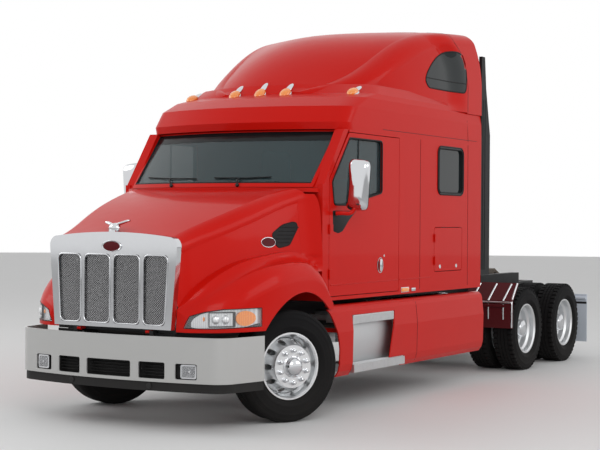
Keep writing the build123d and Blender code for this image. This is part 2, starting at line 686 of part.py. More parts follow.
def hood_shell(outer):
    """The moulded hood: top, sides and fenders in one skin."""
    skin = outer - hood_block(hood_wall)
    skin -= lamp_cutter()
    skin -= mirrored(lamp_cutter())
    skin -= behind_hood()
    arch = arch_cutter(930.0)
    skin -= arch
    skin -= mirrored(arch)
    for side in (-1, 1):
        skin -= box(side * 700.0, side * 1300.0, behind(380.0), behind(900.0), 700.0, fender_back_z)
        skin -= box(side * 700.0, side * 1300.0, behind(fender_tail_end), behind(900.0), 700.0, 1100.0)
    beam_back = behind(hood_front) + 28.0
    skin += box(-630.0, 630.0, behind(hood_front), beam_back, grille_bottom[0], grille_bottom[0] + 34.0)
    for side in (-1, 1):
        x0, x1 = side * (hood_arm_x - hood_arm_half), side * (hood_arm_x + hood_arm_half)
        arm = box(x0, x1, hood_pivot_y, beam_back, hood_pivot_z - 7.0, hood_pivot_z + 14.0)
        arm += box(x0, x1, behind(hood_front), beam_back, hood_pivot_z - 7.0, grille_bottom[0] + 5.0)
        arm += rod((x0, hood_pivot_y, hood_pivot_z), (x1, hood_pivot_y, hood_pivot_z), hood_pin_radius + 6.0)
        arm -= rod((x0 - 50.0 * side, hood_pivot_y, hood_pivot_z), (x1 + 50.0 * side, hood_pivot_y, hood_pivot_z),
                   hood_pin_radius + running_gap)
        skin += arm
    save(skin, "hood_shell")


# grille surround across the front: (z, outer half width, inner half width)
grille_bottom, grille_shoulder = (868.0, 632.0), (1560.0, 690.0)
mesh_bottom_z, mesh_top_z = 900.0, 1500.0
mesh_half_bottom, mesh_half_top = 568.0, 604.0
grille_front = -1255.0
grille_depth = hood_front - seat_gap - grille_front
grille_face = 16.0
bar_width = 30.0
bar_places = [-320.0, 0.0, 320.0]


def grille_outline(inset=0.0):
    """The surround's outer outline in front view."""
    top_z, shoulder = 1690.0 - inset, (grille_shoulder[1] - inset, grille_shoulder[0])
    low = (grille_bottom[1] - inset, grille_bottom[0] + inset)
    flip = lambda p: (-p[0], p[1])
    corner = (610.0 - inset, 1652.0 - inset)
    with BuildSketch() as face:
        with BuildLine():
            Line(low, shoulder)
            ThreePointArc(shoulder, (672.0 - inset, 1622.0 - inset * 0.6), corner)
            ThreePointArc(corner, (0, top_z), flip(corner))
            ThreePointArc(flip(corner), flip((672.0 - inset, 1622.0 - inset * 0.6)), flip(shoulder))
            Line(flip(shoulder), flip(low))
            Line(flip(low), low)
        make_face()
    return face.sketch


def mesh_opening(index, grow=0.0):
    """One of the four grille windows in front view."""
    edges = [-1.0] + [place / 604.0 for place in bar_places] + [1.0]
    def x_at(share, z):
        half = mesh_half_bottom + (mesh_half_top - mesh_half_bottom) * (z - mesh_bottom_z) / (mesh_top_z - mesh_bottom_z)
        return share * half if abs(share) == 1.0 else share * 604.0
    left, right = edges[index], edges[index + 1]
    trim_left = 0.0 if left == -1.0 else bar_width / 2
    trim_right = 0.0 if right == 1.0 else bar_width / 2
    z0, z1 = mesh_bottom_z - grow, mesh_top_z + grow
    corners = [
        (x_at(left, z0) + trim_left - grow, z0), (x_at(right, z0) - trim_right + grow, z0),
        (x_at(right, z1) - trim_right + grow, z1), (x_at(left, z1) + trim_left - grow, z1),
    ]
    face = make_face(Polyline(*corners, close=True))
    return fillet(face.vertices(), 38.0)


mesh_thickness = 8.0
mesh_pitch, mesh_cell = 84.0, 48.0


def mesh_cells():
    """The centres, in front view, of the diamond holes in the grille mesh."""
    rows = int((mesh_top_z - mesh_bottom_z) / mesh_pitch * 2) + 1
    columns = int(2 * mesh_half_top / mesh_pitch) + 2
    places = []
    for row in range(rows):
        shift = mesh_pitch / 2 if row % 2 else 0.0
        for column in range(columns):
            x = -mesh_half_top + shift + column * mesh_pitch
            places.append((x, mesh_bottom_z + row * mesh_pitch / 2))
    return places


def grille_parts():
    """Bright surround with four framed windows, and the mesh behind them."""
    back_y = behind(grille_front + grille_depth)
    surround = xz_plane(back_y) * extrude(grille_outline(), grille_depth)
    surround -= xz_plane(back_y + 5.0) * extrude(grille_outline(16.0), grille_depth + 5.0 - grille_face)
    for index in range(4):
        surround -= xz_plane(back_y + 20.0) * extrude(mesh_opening(index), grille_depth + 60.0)
    crest = Pos(0, behind(grille_front) + 32.0, 1690.0) * Box(70.0, 60.0, 30.0)
    crest += Pos(0, behind(grille_front) + 32.0, 1722.0) * scale(Sphere(40.0), (1.4, 0.75, 1.0))
    save(surround + crest, "grille_surround")
    mesh_back = behind(grille_front) + grille_face + seat_gap + mesh_thickness
    panels = []
    for index in range(4):
        inside = mesh_opening(index, -2.0)
        holes = [place for place in mesh_cells() if inside.is_inside(Vector(place[0], place[1], 0))]
        cell = Rotation(0, 0, 45) * Rectangle(mesh_cell, mesh_cell)
        panel = mesh_opening(index, 12.0) - [Pos(x, z) * cell for x, z in holes]
        panels.append(xz_plane(mesh_back) * extrude(panel, mesh_thickness))
    save(Compound(children=panels), "grille_mesh")


# headlamp outline in front view: (x, z)
lamp_outline = [
    (716.0, 886.0), (960.0, 884.0), (1240.0, 894.0), (1240.0, 1052.0), (1000.0, 1046.0), (880.0, 1024.0),
    (768.0, 988.0),
]
lamp_depth = 45.0
lamp_front, lamp_back = -1300.0, -660.0


def lamp_cutter():
    """The left headlamp's outline, run back along the fender corner."""
    return front_prism(lamp_outline, behind(lamp_front), behind(lamp_back))


def headlamps(outer, inner):
    """Wrap-round lamps let into the fender corners."""
    lamp = (outer - inner) & lamp_cutter()
    save(both_sides(lamp.solids().sort_by(SortBy.VOLUME)[-1]), "headlamps")


def hood_parts():
    """Everything that tilts with the hood."""
    outer = hood_block(0.0)
    hood_shell(outer)
    headlamps(outer, hood_block(lamp_depth))
    grille_parts()


# ---------------------------------------------------------------- cab

windscreen_base = (150.0, 400.0, 2140.0)     # behind the axle at the middle and at the corner, z
windscreen_head = (625.0, 850.0, 2668.0)
screen_base_x, screen_head_x = 1030.0, 1045.0
screen_rebate = 14.0         # frame showing outside the glass
screen_low_share, screen_high_share = 0.01, 0.965


def bowed_band(z, half, middle, corner, thickness):
    """A crescent strip in plan at height z: an arc across the vehicle and the same arc moved back."""
    front = ThreePointArc((-half, behind(corner)), (0, behind(middle)), (half, behind(corner)))
    back = ThreePointArc(
        (half, behind(corner + thickness)), (0, behind(middle + thickness)), (-half, behind(corner + thickness)))
    edges = [front, Line(front @ 1, back @ 0), back, Line(back @ 1, front @ 0)]
    return Pos(0, 0, z) * make_face(Wire(edges))


def screen_strip(inset, thickness, low_share, high_share, push=0.0):
    """A strip of the windscreen's plane, between two shares of its height."""
    sections = []
    for share in (low_share, high_share):
        z = windscreen_base[2] + (windscreen_head[2] - windscreen_base[2]) * share
        middle = windscreen_base[0] + (windscreen_head[0] - windscreen_base[0]) * share + push
        corner = windscreen_base[1] + (windscreen_head[1] - windscreen_base[1]) * share + push
        half = screen_base_x + (screen_head_x - screen_base_x) * share - inset
        # the arc through the corner is shortened with the inset
        rise = corner - middle
        full = screen_base_x + (screen_head_x - screen_base_x) * share
        corner = middle + rise * (half / full) ** 2
        sections.append(bowed_band(z, half, middle, corner, thickness))
    return loft(sections, ruled=True)


def cab_cowl():
    """Firewall, cowl top, windscreen frame and front pillars."""
    frame = screen_strip(-screen_rebate, 52.0, -0.06, 0.998)
    frame -= screen_strip(screen_rebate, 300.0, screen_low_share, screen_high_share, -100.0)
    for side in (-1, 1):
        post = box(side * (cab_half_width - 56.0), side * cab_half_width, behind(402.0), door_front_y - panel_gap,
                   cab_bottom_z, 2140.0)
        pillar = side_prism([
            (behind(402.0), 2105.0), (door_front_y - panel_gap, 2105.0), (door_front_y - panel_gap, 2190.0),
            (behind(892.0), cab_seam_z), (behind(800.0), cab_seam_z),
        ], side * (cab_half_width - 100.0), side * cab_half_width)
        frame += post
        frame += pillar
    wall = box(-cab_half_width + 50.0, cab_half_width - 50.0, behind(410.0), behind(440.0), cab_bottom_z, 2120.0)
    frame += wall
    corner_y = behind(hood_back_corner + 4.0)
    shelf_front = ThreePointArc((-1100.0, corner_y), (0, behind(hood_back_centre + 10.0)), (1100.0, corner_y))
    shelf_back = Line((1100.0, behind(440.0)), (-1100.0, behind(440.0)))
    edges = [shelf_front, Line(shelf_front @ 1, shelf_back @ 0), shelf_back, Line(shelf_back @ 1, shelf_front @ 0)]
    shelf = Pos(0, 0, 2062.0) * extrude(make_face(Wire(edges)), 40.0)
    frame += shelf
    save(frame, "cab_cowl")
    height = windscreen_head[2] - windscreen_base[2]
    low, high = screen_low_share + seat_gap / height, screen_high_share - seat_gap / height
    save(screen_strip(screen_rebate + seat_gap, glass_thickness, low, high, 20.0), "windscreen")


rocker_lap = 5.0
# sleeper window and luggage hatch: (front, back, low z, high z) behind the axle
sleeper_window = (2880.0, 3540.0, 2090.0, 2610.0)
luggage_hatch = (2800.0, 3525.0, 1260.0, 1740.0)


def side_opening(row, grow, x0, x1, radius):
    """A rounded opening through a side wall."""
    front, back, low, high = row
    size = Rectangle(back - front + 2 * grow, high - low + 2 * grow)
    size = fillet(size.vertices(), radius + grow)
    return yz_plane(min(x0, x1)) * Pos(behind((front + back) / 2), (low + high) / 2) * extrude(size, abs(x1 - x0))


def door_outline(grow):
    """The door's outline in side view, grown all round."""
    line = [
        (door_front_y - grow, door_bottom_z - grow), (door_back_y + grow, door_bottom_z - grow),
        (door_back_y + grow, door_top_z + grow), (behind(905.0) - grow * 0.6, door_top_z + grow),
        (door_front_y - grow, 2185.0 + grow * 0.2),
    ]
    return make_face(Polyline(*line, close=True))


def cab_shell():
    """Floor, side walls with the door frames, and rear wall."""
    half = cab_half_width - door_thickness - panel_gap
    wide_from = door_back_y + panel_gap + rocker_lap + seat_gap
    floor = box(-half, half, behind(440.0) + seat_gap, wide_from, cab_bottom_z, cab_bottom_z + 45.0)
    half = cab_half_width - cab_wall - seat_gap
    floor += box(-half, half, wide_from, cab_back_y - cab_wall - seat_gap, cab_bottom_z, cab_bottom_z + 45.0)
    for x in (-380.0, 380.0):
        for place in (560.0, 3700.0):
            y = behind(place)
            floor += box(x - 45.0, x + 45.0, y - 70.0, y + 70.0, frame_top_z + seat_gap, cab_bottom_z + 2.0)
    save(floor, "cab_floor")
    x0, x1 = cab_half_width - cab_wall, cab_half_width
    side = box(x0, x1, door_back_y + panel_gap, cab_back_y, cab_bottom_z, cab_seam_z)
    side += box(cab_half_width - door_thickness, x1, door_front_y, door_back_y + panel_gap + rocker_lap, cab_bottom_z,
                door_bottom_z - panel_gap)
    side += box(x0, x1, behind(905.0), door_back_y + panel_gap + rocker_lap, door_top_z + panel_gap, cab_seam_z)
    side -= side_opening(sleeper_window, 0.0, cab_half_width - 100.0, cab_half_width + 50.0, 80.0)
    side -= side_opening(luggage_hatch, 0.0, cab_half_width - 100.0, cab_half_width + 50.0, 40.0)
    save(both_sides(side), "cab_sides")
    back = box(-cab_half_width + cab_wall + seat_gap, cab_half_width - cab_wall - seat_gap, cab_back_y - cab_wall,
               cab_back_y, cab_bottom_z, cab_seam_z)
    save(back, "cab_back")
    pane = side_opening(sleeper_window, -4.0, cab_half_width - 24.0, cab_half_width - 16.0, 80.0)
    rim = side_opening(sleeper_window, -seat_gap, cab_half_width - 34.0, cab_half_width + 4.0, 80.0)
    rim -= side_opening(sleeper_window, -22.0, cab_half_width - 80.0, cab_half_width + 50.0, 80.0)
    save(both_sides(pane + rim), "sleeper_windows")
    lid = side_opening(luggage_hatch, -panel_gap, cab_half_width - 30.0, cab_half_width, 40.0)
    for z in (1380.0, 1620.0):
        lid += outside_hinge(behind(luggage_hatch[0]) + panel_gap, z)
    save(lid, "hatch_left")
    save(mirrored(lid), "hatch_right")


# door window corners in side view: (behind the axle, z)
door_window = [
    (916.0, 2590.0), (1585.0, 2590.0), (1585.0, 2080.0), (849.0, 1950.0), (620.0, 1950.0), (580.0, 2160.0),
]


def window_face(grow):
    """The door window's outline, grown all round."""
    face = make_face(Polyline(*[(behind(y), z) for y, z in door_window], close=True))
    face = fillet(face.vertices(), 40.0)
    return offset(face, grow) if grow else face


hinge_reach = 8.0            # from the skin out to the hinge axis
hinge_radius = math.hypot(hinge_reach, panel_gap / 2) - seat_gap
hinge_half_length = 45.0


def outside_hinge(front_y, z):
    """A hinge on the left side of the cab: a leaf on the moving panel and a barrel at its front gap."""
    axis_y = front_y - panel_gap / 2
    axis_x = cab_half_width + hinge_reach
    barrel = Pos(axis_x, axis_y, z) * Cylinder(hinge_radius, 2 * hinge_half_length)
    low_z, high_z = z - hinge_half_length, z + hinge_half_length
    leaf = box(cab_half_width - 1.0, cab_half_width + 6.0, axis_y + 4.0, axis_y + 70.0, low_z, high_z)
    return barrel + leaf


def doors():
    """Both cab doors, their glass and the mirrors that they carry."""
    x1 = cab_half_width
    door = yz_plane(x1 - door_thickness) * extrude(door_outline(0.0), door_thickness)
    door -= yz_plane(x1 - 200.0) * extrude(window_face(0.0), 400.0)
    for z in (1300.0, 1720.0):
        door += outside_hinge(door_front_y, z)
    pocket = box(x1 - 28.0, x1 + 10.0, behind(1490.0), behind(1620.0), 1310.0, 1400.0)
    door -= pocket
    glass = yz_plane(x1 - 32.0) * extrude(window_face(-0.3), glass_thickness)
    head = box(1192.0, 1440.0, behind(640.0), behind(760.0), 1890.0, 2390.0)
    head = fillet(head.edges().filter_by(Axis.Z), 28.0)
    bracket = rod((x1 + 6.0, behind(690.0), 1840.0), (1300.0, behind(700.0), 1860.0), 16.0)
    bracket += rod((1300.0, behind(700.0), 1850.0), (1300.0, behind(700.0), 1900.0), 16.0)
    foot_corners = [(behind(560.0), 1890.0), (behind(820.0), 1890.0), (behind(700.0), 1770.0)]
    foot = side_prism(foot_corners, x1 + seat_gap, x1 + 14.0)
    mirror_arm = head + bracket + foot
    save(door, "door_left")
    save(mirrored(door), "door_right")
    save(glass, "door_glass_left")
    save(mirrored(glass), "door_glass_right")
    save(mirror_arm, "mirror_left")
    save(mirrored(mirror_arm), "mirror_right")


# ---------------------------------------------------------------- roof cap

cap_wall = 16.0
# roof base in plan: (z, front at the middle, corner x, corner y, side x)
cap_plan = [
    (cab_seam_z + seat_gap, 590.0, 1020.0, 800.0, 1140.0),
    (2740.0, 560.0, 1020.0, 780.0, 1140.0),
    (2900.0, 670.0, 1005.0, 885.0, 1138.0),
    (3005.0, 880.0, 970.0, 1090.0, 1125.0),
    (3060.0, 1120.0, 930.0, 1300.0, 1105.0),
    (3160.0, 1200.0, 860.0, 1450.0, 1040.0),
]
# roof dome across the vehicle: (behind the axle, half width, side z, corner x, corner z, crown z)
cap_dome = [
    (1150.0, 500.0, 3040.0, 400.0, 3075.0, 3090.0),
    (1400.0, 800.0, 3070.0, 640.0, 3180.0, 3330.0),
    (1800.0, 960.0, 3190.0, 780.0, 3380.0, 3610.0),
    (2300.0, 1035.0, 3420.0, 850.0, 3650.0, 3790.0),
    (3000.0, 1075.0, 3680.0, 950.0, 3840.0, 3895.0),
    (3600.0, 1085.0, 3760.0, 985.0, 3895.0, 3955.0),
    (4040.0, 1085.0, 3770.0, 985.0, 3915.0, 3975.0),
]
# the flush band at the roof's rear, in side view
band_seam = [(3655.0, 2700.0), (3630.0, 3160.0), (3530.0, 3560.0), (3250.0, 3760.0), (3080.0, 3990.0)]
rear_curve = [(3400.0, 3990.0), (3830.0, 3790.0), (4040.0, 3330.0)]


def cap_base_section(row, inset):
    """One level slice of the roof base."""
    z, middle, corner_x, corner_y, side_x = row
    back = cab_back_y - inset
    middle, corner_y = behind(middle + inset), behind(corner_y + inset)
    corner_x, side_x = corner_x - inset, side_x - inset
    after = (side_x, corner_y + 1.5 * (side_x - corner_x))
    corner = (corner_x, corner_y)
    flip = lambda p: (-p[0], p[1])
    bend = TangentArc(after, corner, tangent=(0, -1))
    bend_right = TangentArc(flip(after), flip(corner), tangent=(0, -1))
    edges = [
        ThreePointArc(flip(corner), (0, middle), corner), bend, Line(after, (side_x, back)),
        Line((side_x, back), (-side_x, back)), Line((-side_x, back), flip(after)), bend_right,
    ]
    return Pos(0, 0, z) * make_face(Wire(edges))


def cap_dome_section(row, inset):
    """One slice of the dome."""
    y, half, side_z, corner_x, corner_z, crown = row
    half, side_z, corner_x = half - inset, side_z - inset * 0.5, corner_x - inset * 0.5
    corner_z, crown = corner_z - inset, crown - inset
    low = 3010.0
    bend = (half - 0.24 * (half - corner_x), side_z + 0.68 * (corner_z - side_z))
    flip = lambda p: (-p[0], p[1])
    start, side, corner = (half, low), (half, side_z), (corner_x, corner_z)
    edges = [
        Line(start, side), ThreePointArc(side, bend, corner), ThreePointArc(corner, (0, crown), flip(corner)),
        ThreePointArc(flip(corner), flip(bend), flip(side)), Line(flip(side), flip(start)), Line(flip(start), start),
    ]
    return xz_plane(behind(y)) * make_face(Wire(edges))


def rear_band(inset):
    """The full-width band round the roof's rear end."""
    rows = [list(row) for row in cap_dome[-3:]]
    half = cab_half_width
    for row in rows:
        row[1:5] = half, row[2], half - 90.0, row[4] - 6.0
    wide = loft([cap_dome_section(row, inset) for row in rows])
    foot, turn, middle, top, end = [(behind(y + inset), z) for y, z in band_seam]
    last = behind(4100.0)
    with BuildSketch() as side_view:
        with BuildLine():
            Line(foot, turn)
            ThreePointArc(turn, middle, top)
            Line(top, end)
            Line(end, (last, end[1]))
            Line((last, end[1]), (last, foot[1]))
            Line((last, foot[1]), foot)
        make_face()
    return wide & (yz_plane(-1300.0) * extrude(side_view.sketch, 2600.0))


def behind_roof(inset):
    """What lies behind the roof's rounded rear end."""
    start, middle, end = [(behind(y - inset), z - inset) for y, z in rear_curve]
    far, top = behind(4200.0), 4200.0
    with BuildSketch() as side_view:
        with BuildLine():
            ThreePointArc(start, middle, end)
            Line(end, (far, end[1]))
            Line((far, end[1]), (far, top))
            Line((far, top), (start[0], top))
            Line((start[0], top), start)
        make_face()
    return yz_plane(-1300.0) * extrude(side_view.sketch, 2600.0)


def cap_block(inset):
    """Roof base, dome and rear band as one solid."""
    rows = [list(row) for row in cap_plan]
    if inset:
        rows[0][0] -= 30.0
        for row in rows[1:]:
            row[0] -= inset
    base = loft([cap_base_section(row, inset) for row in rows], ruled=True)
    rows = [list(row) for row in cap_dome]
    rows[0][0] += inset * 1.5
    rows[-1][0] -= inset
    dome = loft([cap_dome_section(row, inset) for row in rows])
    return base + dome + rear_band(inset) - behind_roof(inset)


# upper side window in side view: (behind the axle, z)
upper_window = [
    (2720.0, 3320.0), (2800.0, 3240.0), (3590.0, 3240.0), (3590.0, 3560.0), (3510.0, 3650.0), (3290.0, 3650.0),
    (3060.0, 3600.0), (2860.0, 3490.0),
]


def upper_opening(grow):
    """The left upper window's outline, run out through the roof's side."""
    outline = make_face(Polyline(*[(behind(y), z) for y, z in upper_window], close=True))
    outline = offset(fillet(outline.vertices(), 34.0), grow)
    return yz_plane(900.0) * extrude(outline, 300.0)


def roof_cap():
    """The raised roof as one moulded shell, and the windows high in its sides."""
    shell = cap_block(0.0) - cap_block(cap_wall)
    opening = upper_opening(0.0)
    save(shell - opening - mirrored(opening), "roof_cap")
    pane = (shell & upper_opening(-seat_gap)).solids().sort_by(SortBy.VOLUME)[-1]
    save(both_sides(pane), "roof_windows")


roof_lamps = [(-960.0, 1290.0), (-300.0, 1115.0), (0.0, 1105.0), (300.0, 1115.0), (960.0, 1290.0)]


def marker_lamps():
    """Five clearance lamps on the roof ledge."""
    lamps = []
    roof = cap_block(0.0)
    for x, y in roof_lamps:
        lamp = Pos(x, behind(y), 3066.0) * scale(Sphere(34.0), (1.2, 1.6, 0.8))
        lamps.append((lamp - roof).solids().sort_by(SortBy.VOLUME)[-1])
    save(Compound(children=lamps), "marker_lamps")


def side_extenders():
    """Black panels that close the gap behind the sleeper."""
    panel = side_prism([
        (cab_back_y + seat_gap, 1190.0), (behind(4290.0), 1190.0), (behind(4290.0), 2800.0), (behind(4170.0), 3330.0),
        (behind(4130.0), 3690.0), (cab_back_y + seat_gap, 3690.0),
    ], cab_half_width - 36.0, cab_half_width)
    save(both_sides(panel), "side_extenders")


# ---------------------------------------------------------------- fairings, steps, rear fenders

# the side fairing across the vehicle, from its rolled top edge down: (in from the widest line, z)
fairing_outside = [
    (96.0, fairing_top_z), (60.0, fairing_top_z - 8.0), (34.0, fairing_top_z - 30.0), (20.0, fairing_top_z - 66.0),
    (0.0, 755.0), (6.0, 450.0), (22.0, 385.0), (56.0, fairing_bottom_z),
]


def fairing_profile():
    """The side fairing's skin across the vehicle."""
    outside = [(fairing_x - inward, z) for inward, z in fairing_outside]
    inside = [(x - fairing_wall, min(z, fairing_top_z - fairing_wall)) for x, z in outside[1:-1]]
    low_x, low_z = outside[-1]
    return outside + [(low_x - fairing_wall, low_z)] + inside[::-1] + [(outside[0][0], fairing_top_z - fairing_wall)]


step_front, step_back = 900.0, 1790.0
step_low, step_high = 440.0, 905.0
tread_thickness = 78.0
riser_x = fairing_x - 105.0


def side_fairings():
    """The painted skirts under the cab, each with its step well, and the treads in them."""
    skirt = front_prism(fairing_profile(), behind(450.0), behind(3990.0))
    skirt -= Pos(0, panel_gap, 0) * arch_cutter(900.0)
    skirt -= box(900.0, 1300.0, behind(300.0), behind(fender_tail_end) + panel_gap, fender_back_z - panel_gap, 1300.0)
    skirt -= side_prism([
        (behind(step_front), step_low), (behind(step_back - 120.0), step_low), (behind(step_back), step_high),
        (behind(step_front), step_high),
    ], 1000.0, 1300.0)
    skirt -= box(1000.0, 1300.0, behind(step_front), behind(step_back + 200.0), 300.0, step_low + 1.0)
    for place in (720.0, 3940.0):
        skirt += box(rail_outer_x + seat_gap, fairing_x - 8.0, behind(place), behind(place) + 36.0, 745.0, 785.0)
    save(both_sides(skirt), "side_fairings")
    x0 = 900.0
    y0, y1 = behind(step_front) + panel_gap, behind(step_back) - panel_gap
    low_y1 = behind(step_back + 200.0) - panel_gap
    slope = (step_high - step_low) / 120.0
    high_y1 = y1 - tread_thickness / slope
    treads = box(x0, fairing_x - 12.0, y0, high_y1, step_high - panel_gap - tread_thickness, step_high - panel_gap)
    treads += box(x0, fairing_x + 4.0, y0, low_y1, step_low - 84.0, step_low - panel_gap)
    treads += box(riser_x - 12.0, riser_x, y0, y1 - 130.0, step_low - 20.0, step_high - 40.0)
    treads += box(rail_outer_x + seat_gap, x0 + 6.0, behind(980.0), behind(1030.0), step_high - 70.0, step_high - 20.0)
    treads += box(rail_outer_x + seat_gap, x0 + 6.0, behind(1500.0), behind(1550.0), step_high - 70.0, step_high - 20.0)
    save(both_sides(treads), "step_treads")


def quarter_fenders():
    """Sloped splash guards ahead of the drive tyres."""
    y = lambda place: behind(place)
    guard = side_prism([
        (y(4775.0), 535.0), (y(4785.0), 535.0), (y(4785.0), 860.0), (y(4960.0), 1056.0), (y(4960.0), 1070.0),
        (y(4775.0), 866.0),
    ], 620.0, 1240.0)
    arm = rod((rail_outer_x + seat_gap, y(4770.0), 800.0), (1150.0, y(4770.0), 800.0), 19.0)
    save(both_sides(guard + arm), "quarter_fenders")


def rear_dress():
    """Deck box behind the cab, mud flaps at the tail and the lower half of the fifth wheel."""
    deck = box(-rail_outer_x, rail_outer_x, behind(4330.0), behind(5250.0), frame_top_z + seat_gap, frame_top_z + 12.0)
    deck += box(-330.0, 330.0, behind(4420.0), behind(4800.0), frame_top_z + 12.0, 1140.0)
    angle_x = rail_outer_x + 38.0
    angles = box(angle_x, angle_x + 110.0, behind(5350.0), behind(6600.0), frame_top_z - 60.0, 1135.0)
    angles += box(rail_outer_x + seat_gap, angle_x + 20.0, behind(5400.0), behind(5460.0), 880.0, 980.0)
    angles += box(rail_outer_x + seat_gap, angle_x + 20.0, behind(6500.0), behind(6560.0), 880.0, 980.0)
    save(deck + angles + mirrored(angles), "deck_box")
    y = tail_y - 12.0
    flap = box(600.0, 1200.0, y - 6.0, y + 6.0, 190.0, 740.0)
    hanger = rod((rail_outer_x + seat_gap, y - 40.0, 780.0), (1200.0, y - 40.0, 780.0), 20.0)
    hanger += box(640.0, 1160.0, y - 44.0, y, 765.0, 795.0)
    bar = box(600.0, 1200.0, y - 24.0, y + 12.0, 730.0, 830.0)
    save(both_sides(flap + bar + hanger), "mud_flaps")
    base = None
    for side in (-1, 1):
        rail_x = side * (rail_outer_x - 40.0)
        slide_front, slide_back = fifth_wheel_y - 450.0, fifth_wheel_y + 450.0
        slide = box(rail_x - 60.0, rail_x + 60.0, slide_front, slide_back, frame_top_z + seat_gap, frame_top_z + 16.0)
        foot = side_prism([
            (fifth_wheel_y - 160.0, frame_top_z + 10.0), (fifth_wheel_y + 160.0, frame_top_z + 10.0),
            (fifth_wheel_y + 45.0, 1110.0), (fifth_wheel_y - 45.0, 1110.0),
        ], rail_x - 25.0, rail_x + 25.0)
        pin = rod((rail_x - 50.0, fifth_wheel_y, 1090.0), (rail_x + 50.0, fifth_wheel_y, 1090.0), 20.0)
        half = slide + foot + pin
        base = half if base is None else base + half
    save(base, "fifth_wheel_base")


def fifth_wheel():
    """The coupling plate that rocks on its base."""
    plate = Pos(0, fifth_wheel_y, fifth_wheel_top_z - 20.0) * Cylinder(460.0, 40.0)
    plate = plate & box(-430.0, 430.0, fifth_wheel_y - 480.0, fifth_wheel_y + 480.0, 1000.0, 1300.0)
    ramp = side_prism([
        (fifth_wheel_y + 380.0, fifth_wheel_top_z - 40.0), (fifth_wheel_y + 380.0, fifth_wheel_top_z),
        (fifth_wheel_y + 560.0, fifth_wheel_top_z - 76.0), (fifth_wheel_y + 560.0, fifth_wheel_top_z - 100.0),
    ], 130.0, 330.0)
    plate += ramp + mirrored(ramp)
    throat = [
        (-kingpin_bore_radius - 2.0, fifth_wheel_y), (kingpin_bore_radius + 2.0, fifth_wheel_y),
        (150.0, fifth_wheel_y + 600.0), (-150.0, fifth_wheel_y + 600.0),
    ]
    plate -= Pos(0, 0, 1000.0) * extrude(make_face(Polyline(*throat, close=True)), 400.0)
    plate -= Pos(0, fifth_wheel_y, 1150.0) * Cylinder(kingpin_bore_radius, 400.0)
    for side in (-1, 1):
        rail_x = side * (rail_outer_x - 40.0)
        for gap in (-1, 1):
            x = rail_x + gap * 39.0
            ear = side_prism([
                (fifth_wheel_y - 110.0, fifth_wheel_top_z - 30.0), (fifth_wheel_y + 110.0, fifth_wheel_top_z - 30.0),
                (fifth_wheel_y + 40.0, 1050.0), (fifth_wheel_y - 40.0, 1050.0),
            ], x - 11.0, x + 11.0)
            plate += ear
        plate -= rod((rail_x - 60.0, fifth_wheel_y, 1090.0), (rail_x + 60.0, fifth_wheel_y, 1090.0), 20.0 + running_gap)
    save(plate, "fifth_wheel_plate")


# ---------------------------------------------------------------- inside the cab

def interior():
    """Two seats, the dashboard with its wheel, and the bunk."""
    floor_z = cab_bottom_z + 45.0 + seat_gap
    seat = box(300.0, 820.0, behind(1350.0), behind(1870.0), 1420.0, 1560.0)
    seat += box(420.0, 700.0, behind(1450.0), behind(1780.0), floor_z, 1422.0)
    seat += side_prism([
        (behind(1780.0), 1555.0), (behind(1900.0), 1555.0), (behind(2010.0), 2230.0), (behind(1910.0), 2230.0),
    ], 320.0, 800.0)
    save(both_sides(seat), "seats")
    dash = side_prism([
        (behind(440.0) + seat_gap, 1700.0), (behind(440.0) + seat_gap, 2040.0), (behind(520.0), 2090.0),
        (behind(820.0), 2030.0), (behind(900.0), 1850.0), (behind(760.0), 1600.0),
    ], -1020.0, 1020.0)
    column = rod((560.0, behind(820.0), 1820.0), (560.0, behind(1090.0), 1960.0), 30.0)
    wheel_plane = Plane(origin=(560.0, behind(1090.0), 1960.0), z_dir=(0, 270.0, 140.0))
    steering = wheel_plane * Torus(225.0, 16.0)
    steering += wheel_plane * Box(440.0, 36.0, 16.0)
    steering += wheel_plane * Cylinder(60.0, 30.0)
    save(dash + column + steering, "dashboard")
    bunk_half, bunk_back = cab_half_width - cab_wall - 20.0, cab_back_y - cab_wall - 20.0
    bunk = box(-bunk_half, bunk_half, behind(3000.0), bunk_back, 1880.0, 2040.0)
    for x in (-900.0, 900.0):
        leg = box(x - 30.0, x + 30.0, behind(3560.0), behind(3900.0), floor_z, 1882.0)
        bunk += leg
    save(bunk, "bunk")


def main():
    """Builds and writes every node."""
    wheel_parts()
    front_axle()
    front_springs()
    steering_parts()
    rear_axles()
    rear_suspension()
    chassis_frame()
    power_unit()
    fuel_tanks()
    exhaust()
    bumper()
    hood_parts()
    cab_cowl()
    cab_shell()
    doors()
    roof_cap()
    marker_lamps()
    side_extenders()
    side_fairings()
    quarter_fenders()
    rear_dress()
    fifth_wheel()
    interior()


main()
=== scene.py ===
"""Looks of a conventional sleeper tractor unit, laid out as a Blender add-on and run as a script.

Metres, +Z up, forward is -Y, the vehicle's left is +X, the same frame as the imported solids.
"""

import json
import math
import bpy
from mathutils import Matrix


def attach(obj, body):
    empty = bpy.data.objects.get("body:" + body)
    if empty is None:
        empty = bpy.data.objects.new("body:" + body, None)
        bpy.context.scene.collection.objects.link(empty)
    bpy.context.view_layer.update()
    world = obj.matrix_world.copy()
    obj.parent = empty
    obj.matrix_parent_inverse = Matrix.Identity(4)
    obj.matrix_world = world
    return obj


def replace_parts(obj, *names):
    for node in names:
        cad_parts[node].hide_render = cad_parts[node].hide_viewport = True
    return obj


bl_info = {
    "name": "Sleeper Tractor Unit",
    "version": (1, 0, 0),
    "blender": (4, 5, 0),
    "location": "3D View > Sidebar > Tractor",
    "description": "Panels, glazing, lamps, wheels and trim around the packed solids of a tractor unit",
    "category": "Object",
}

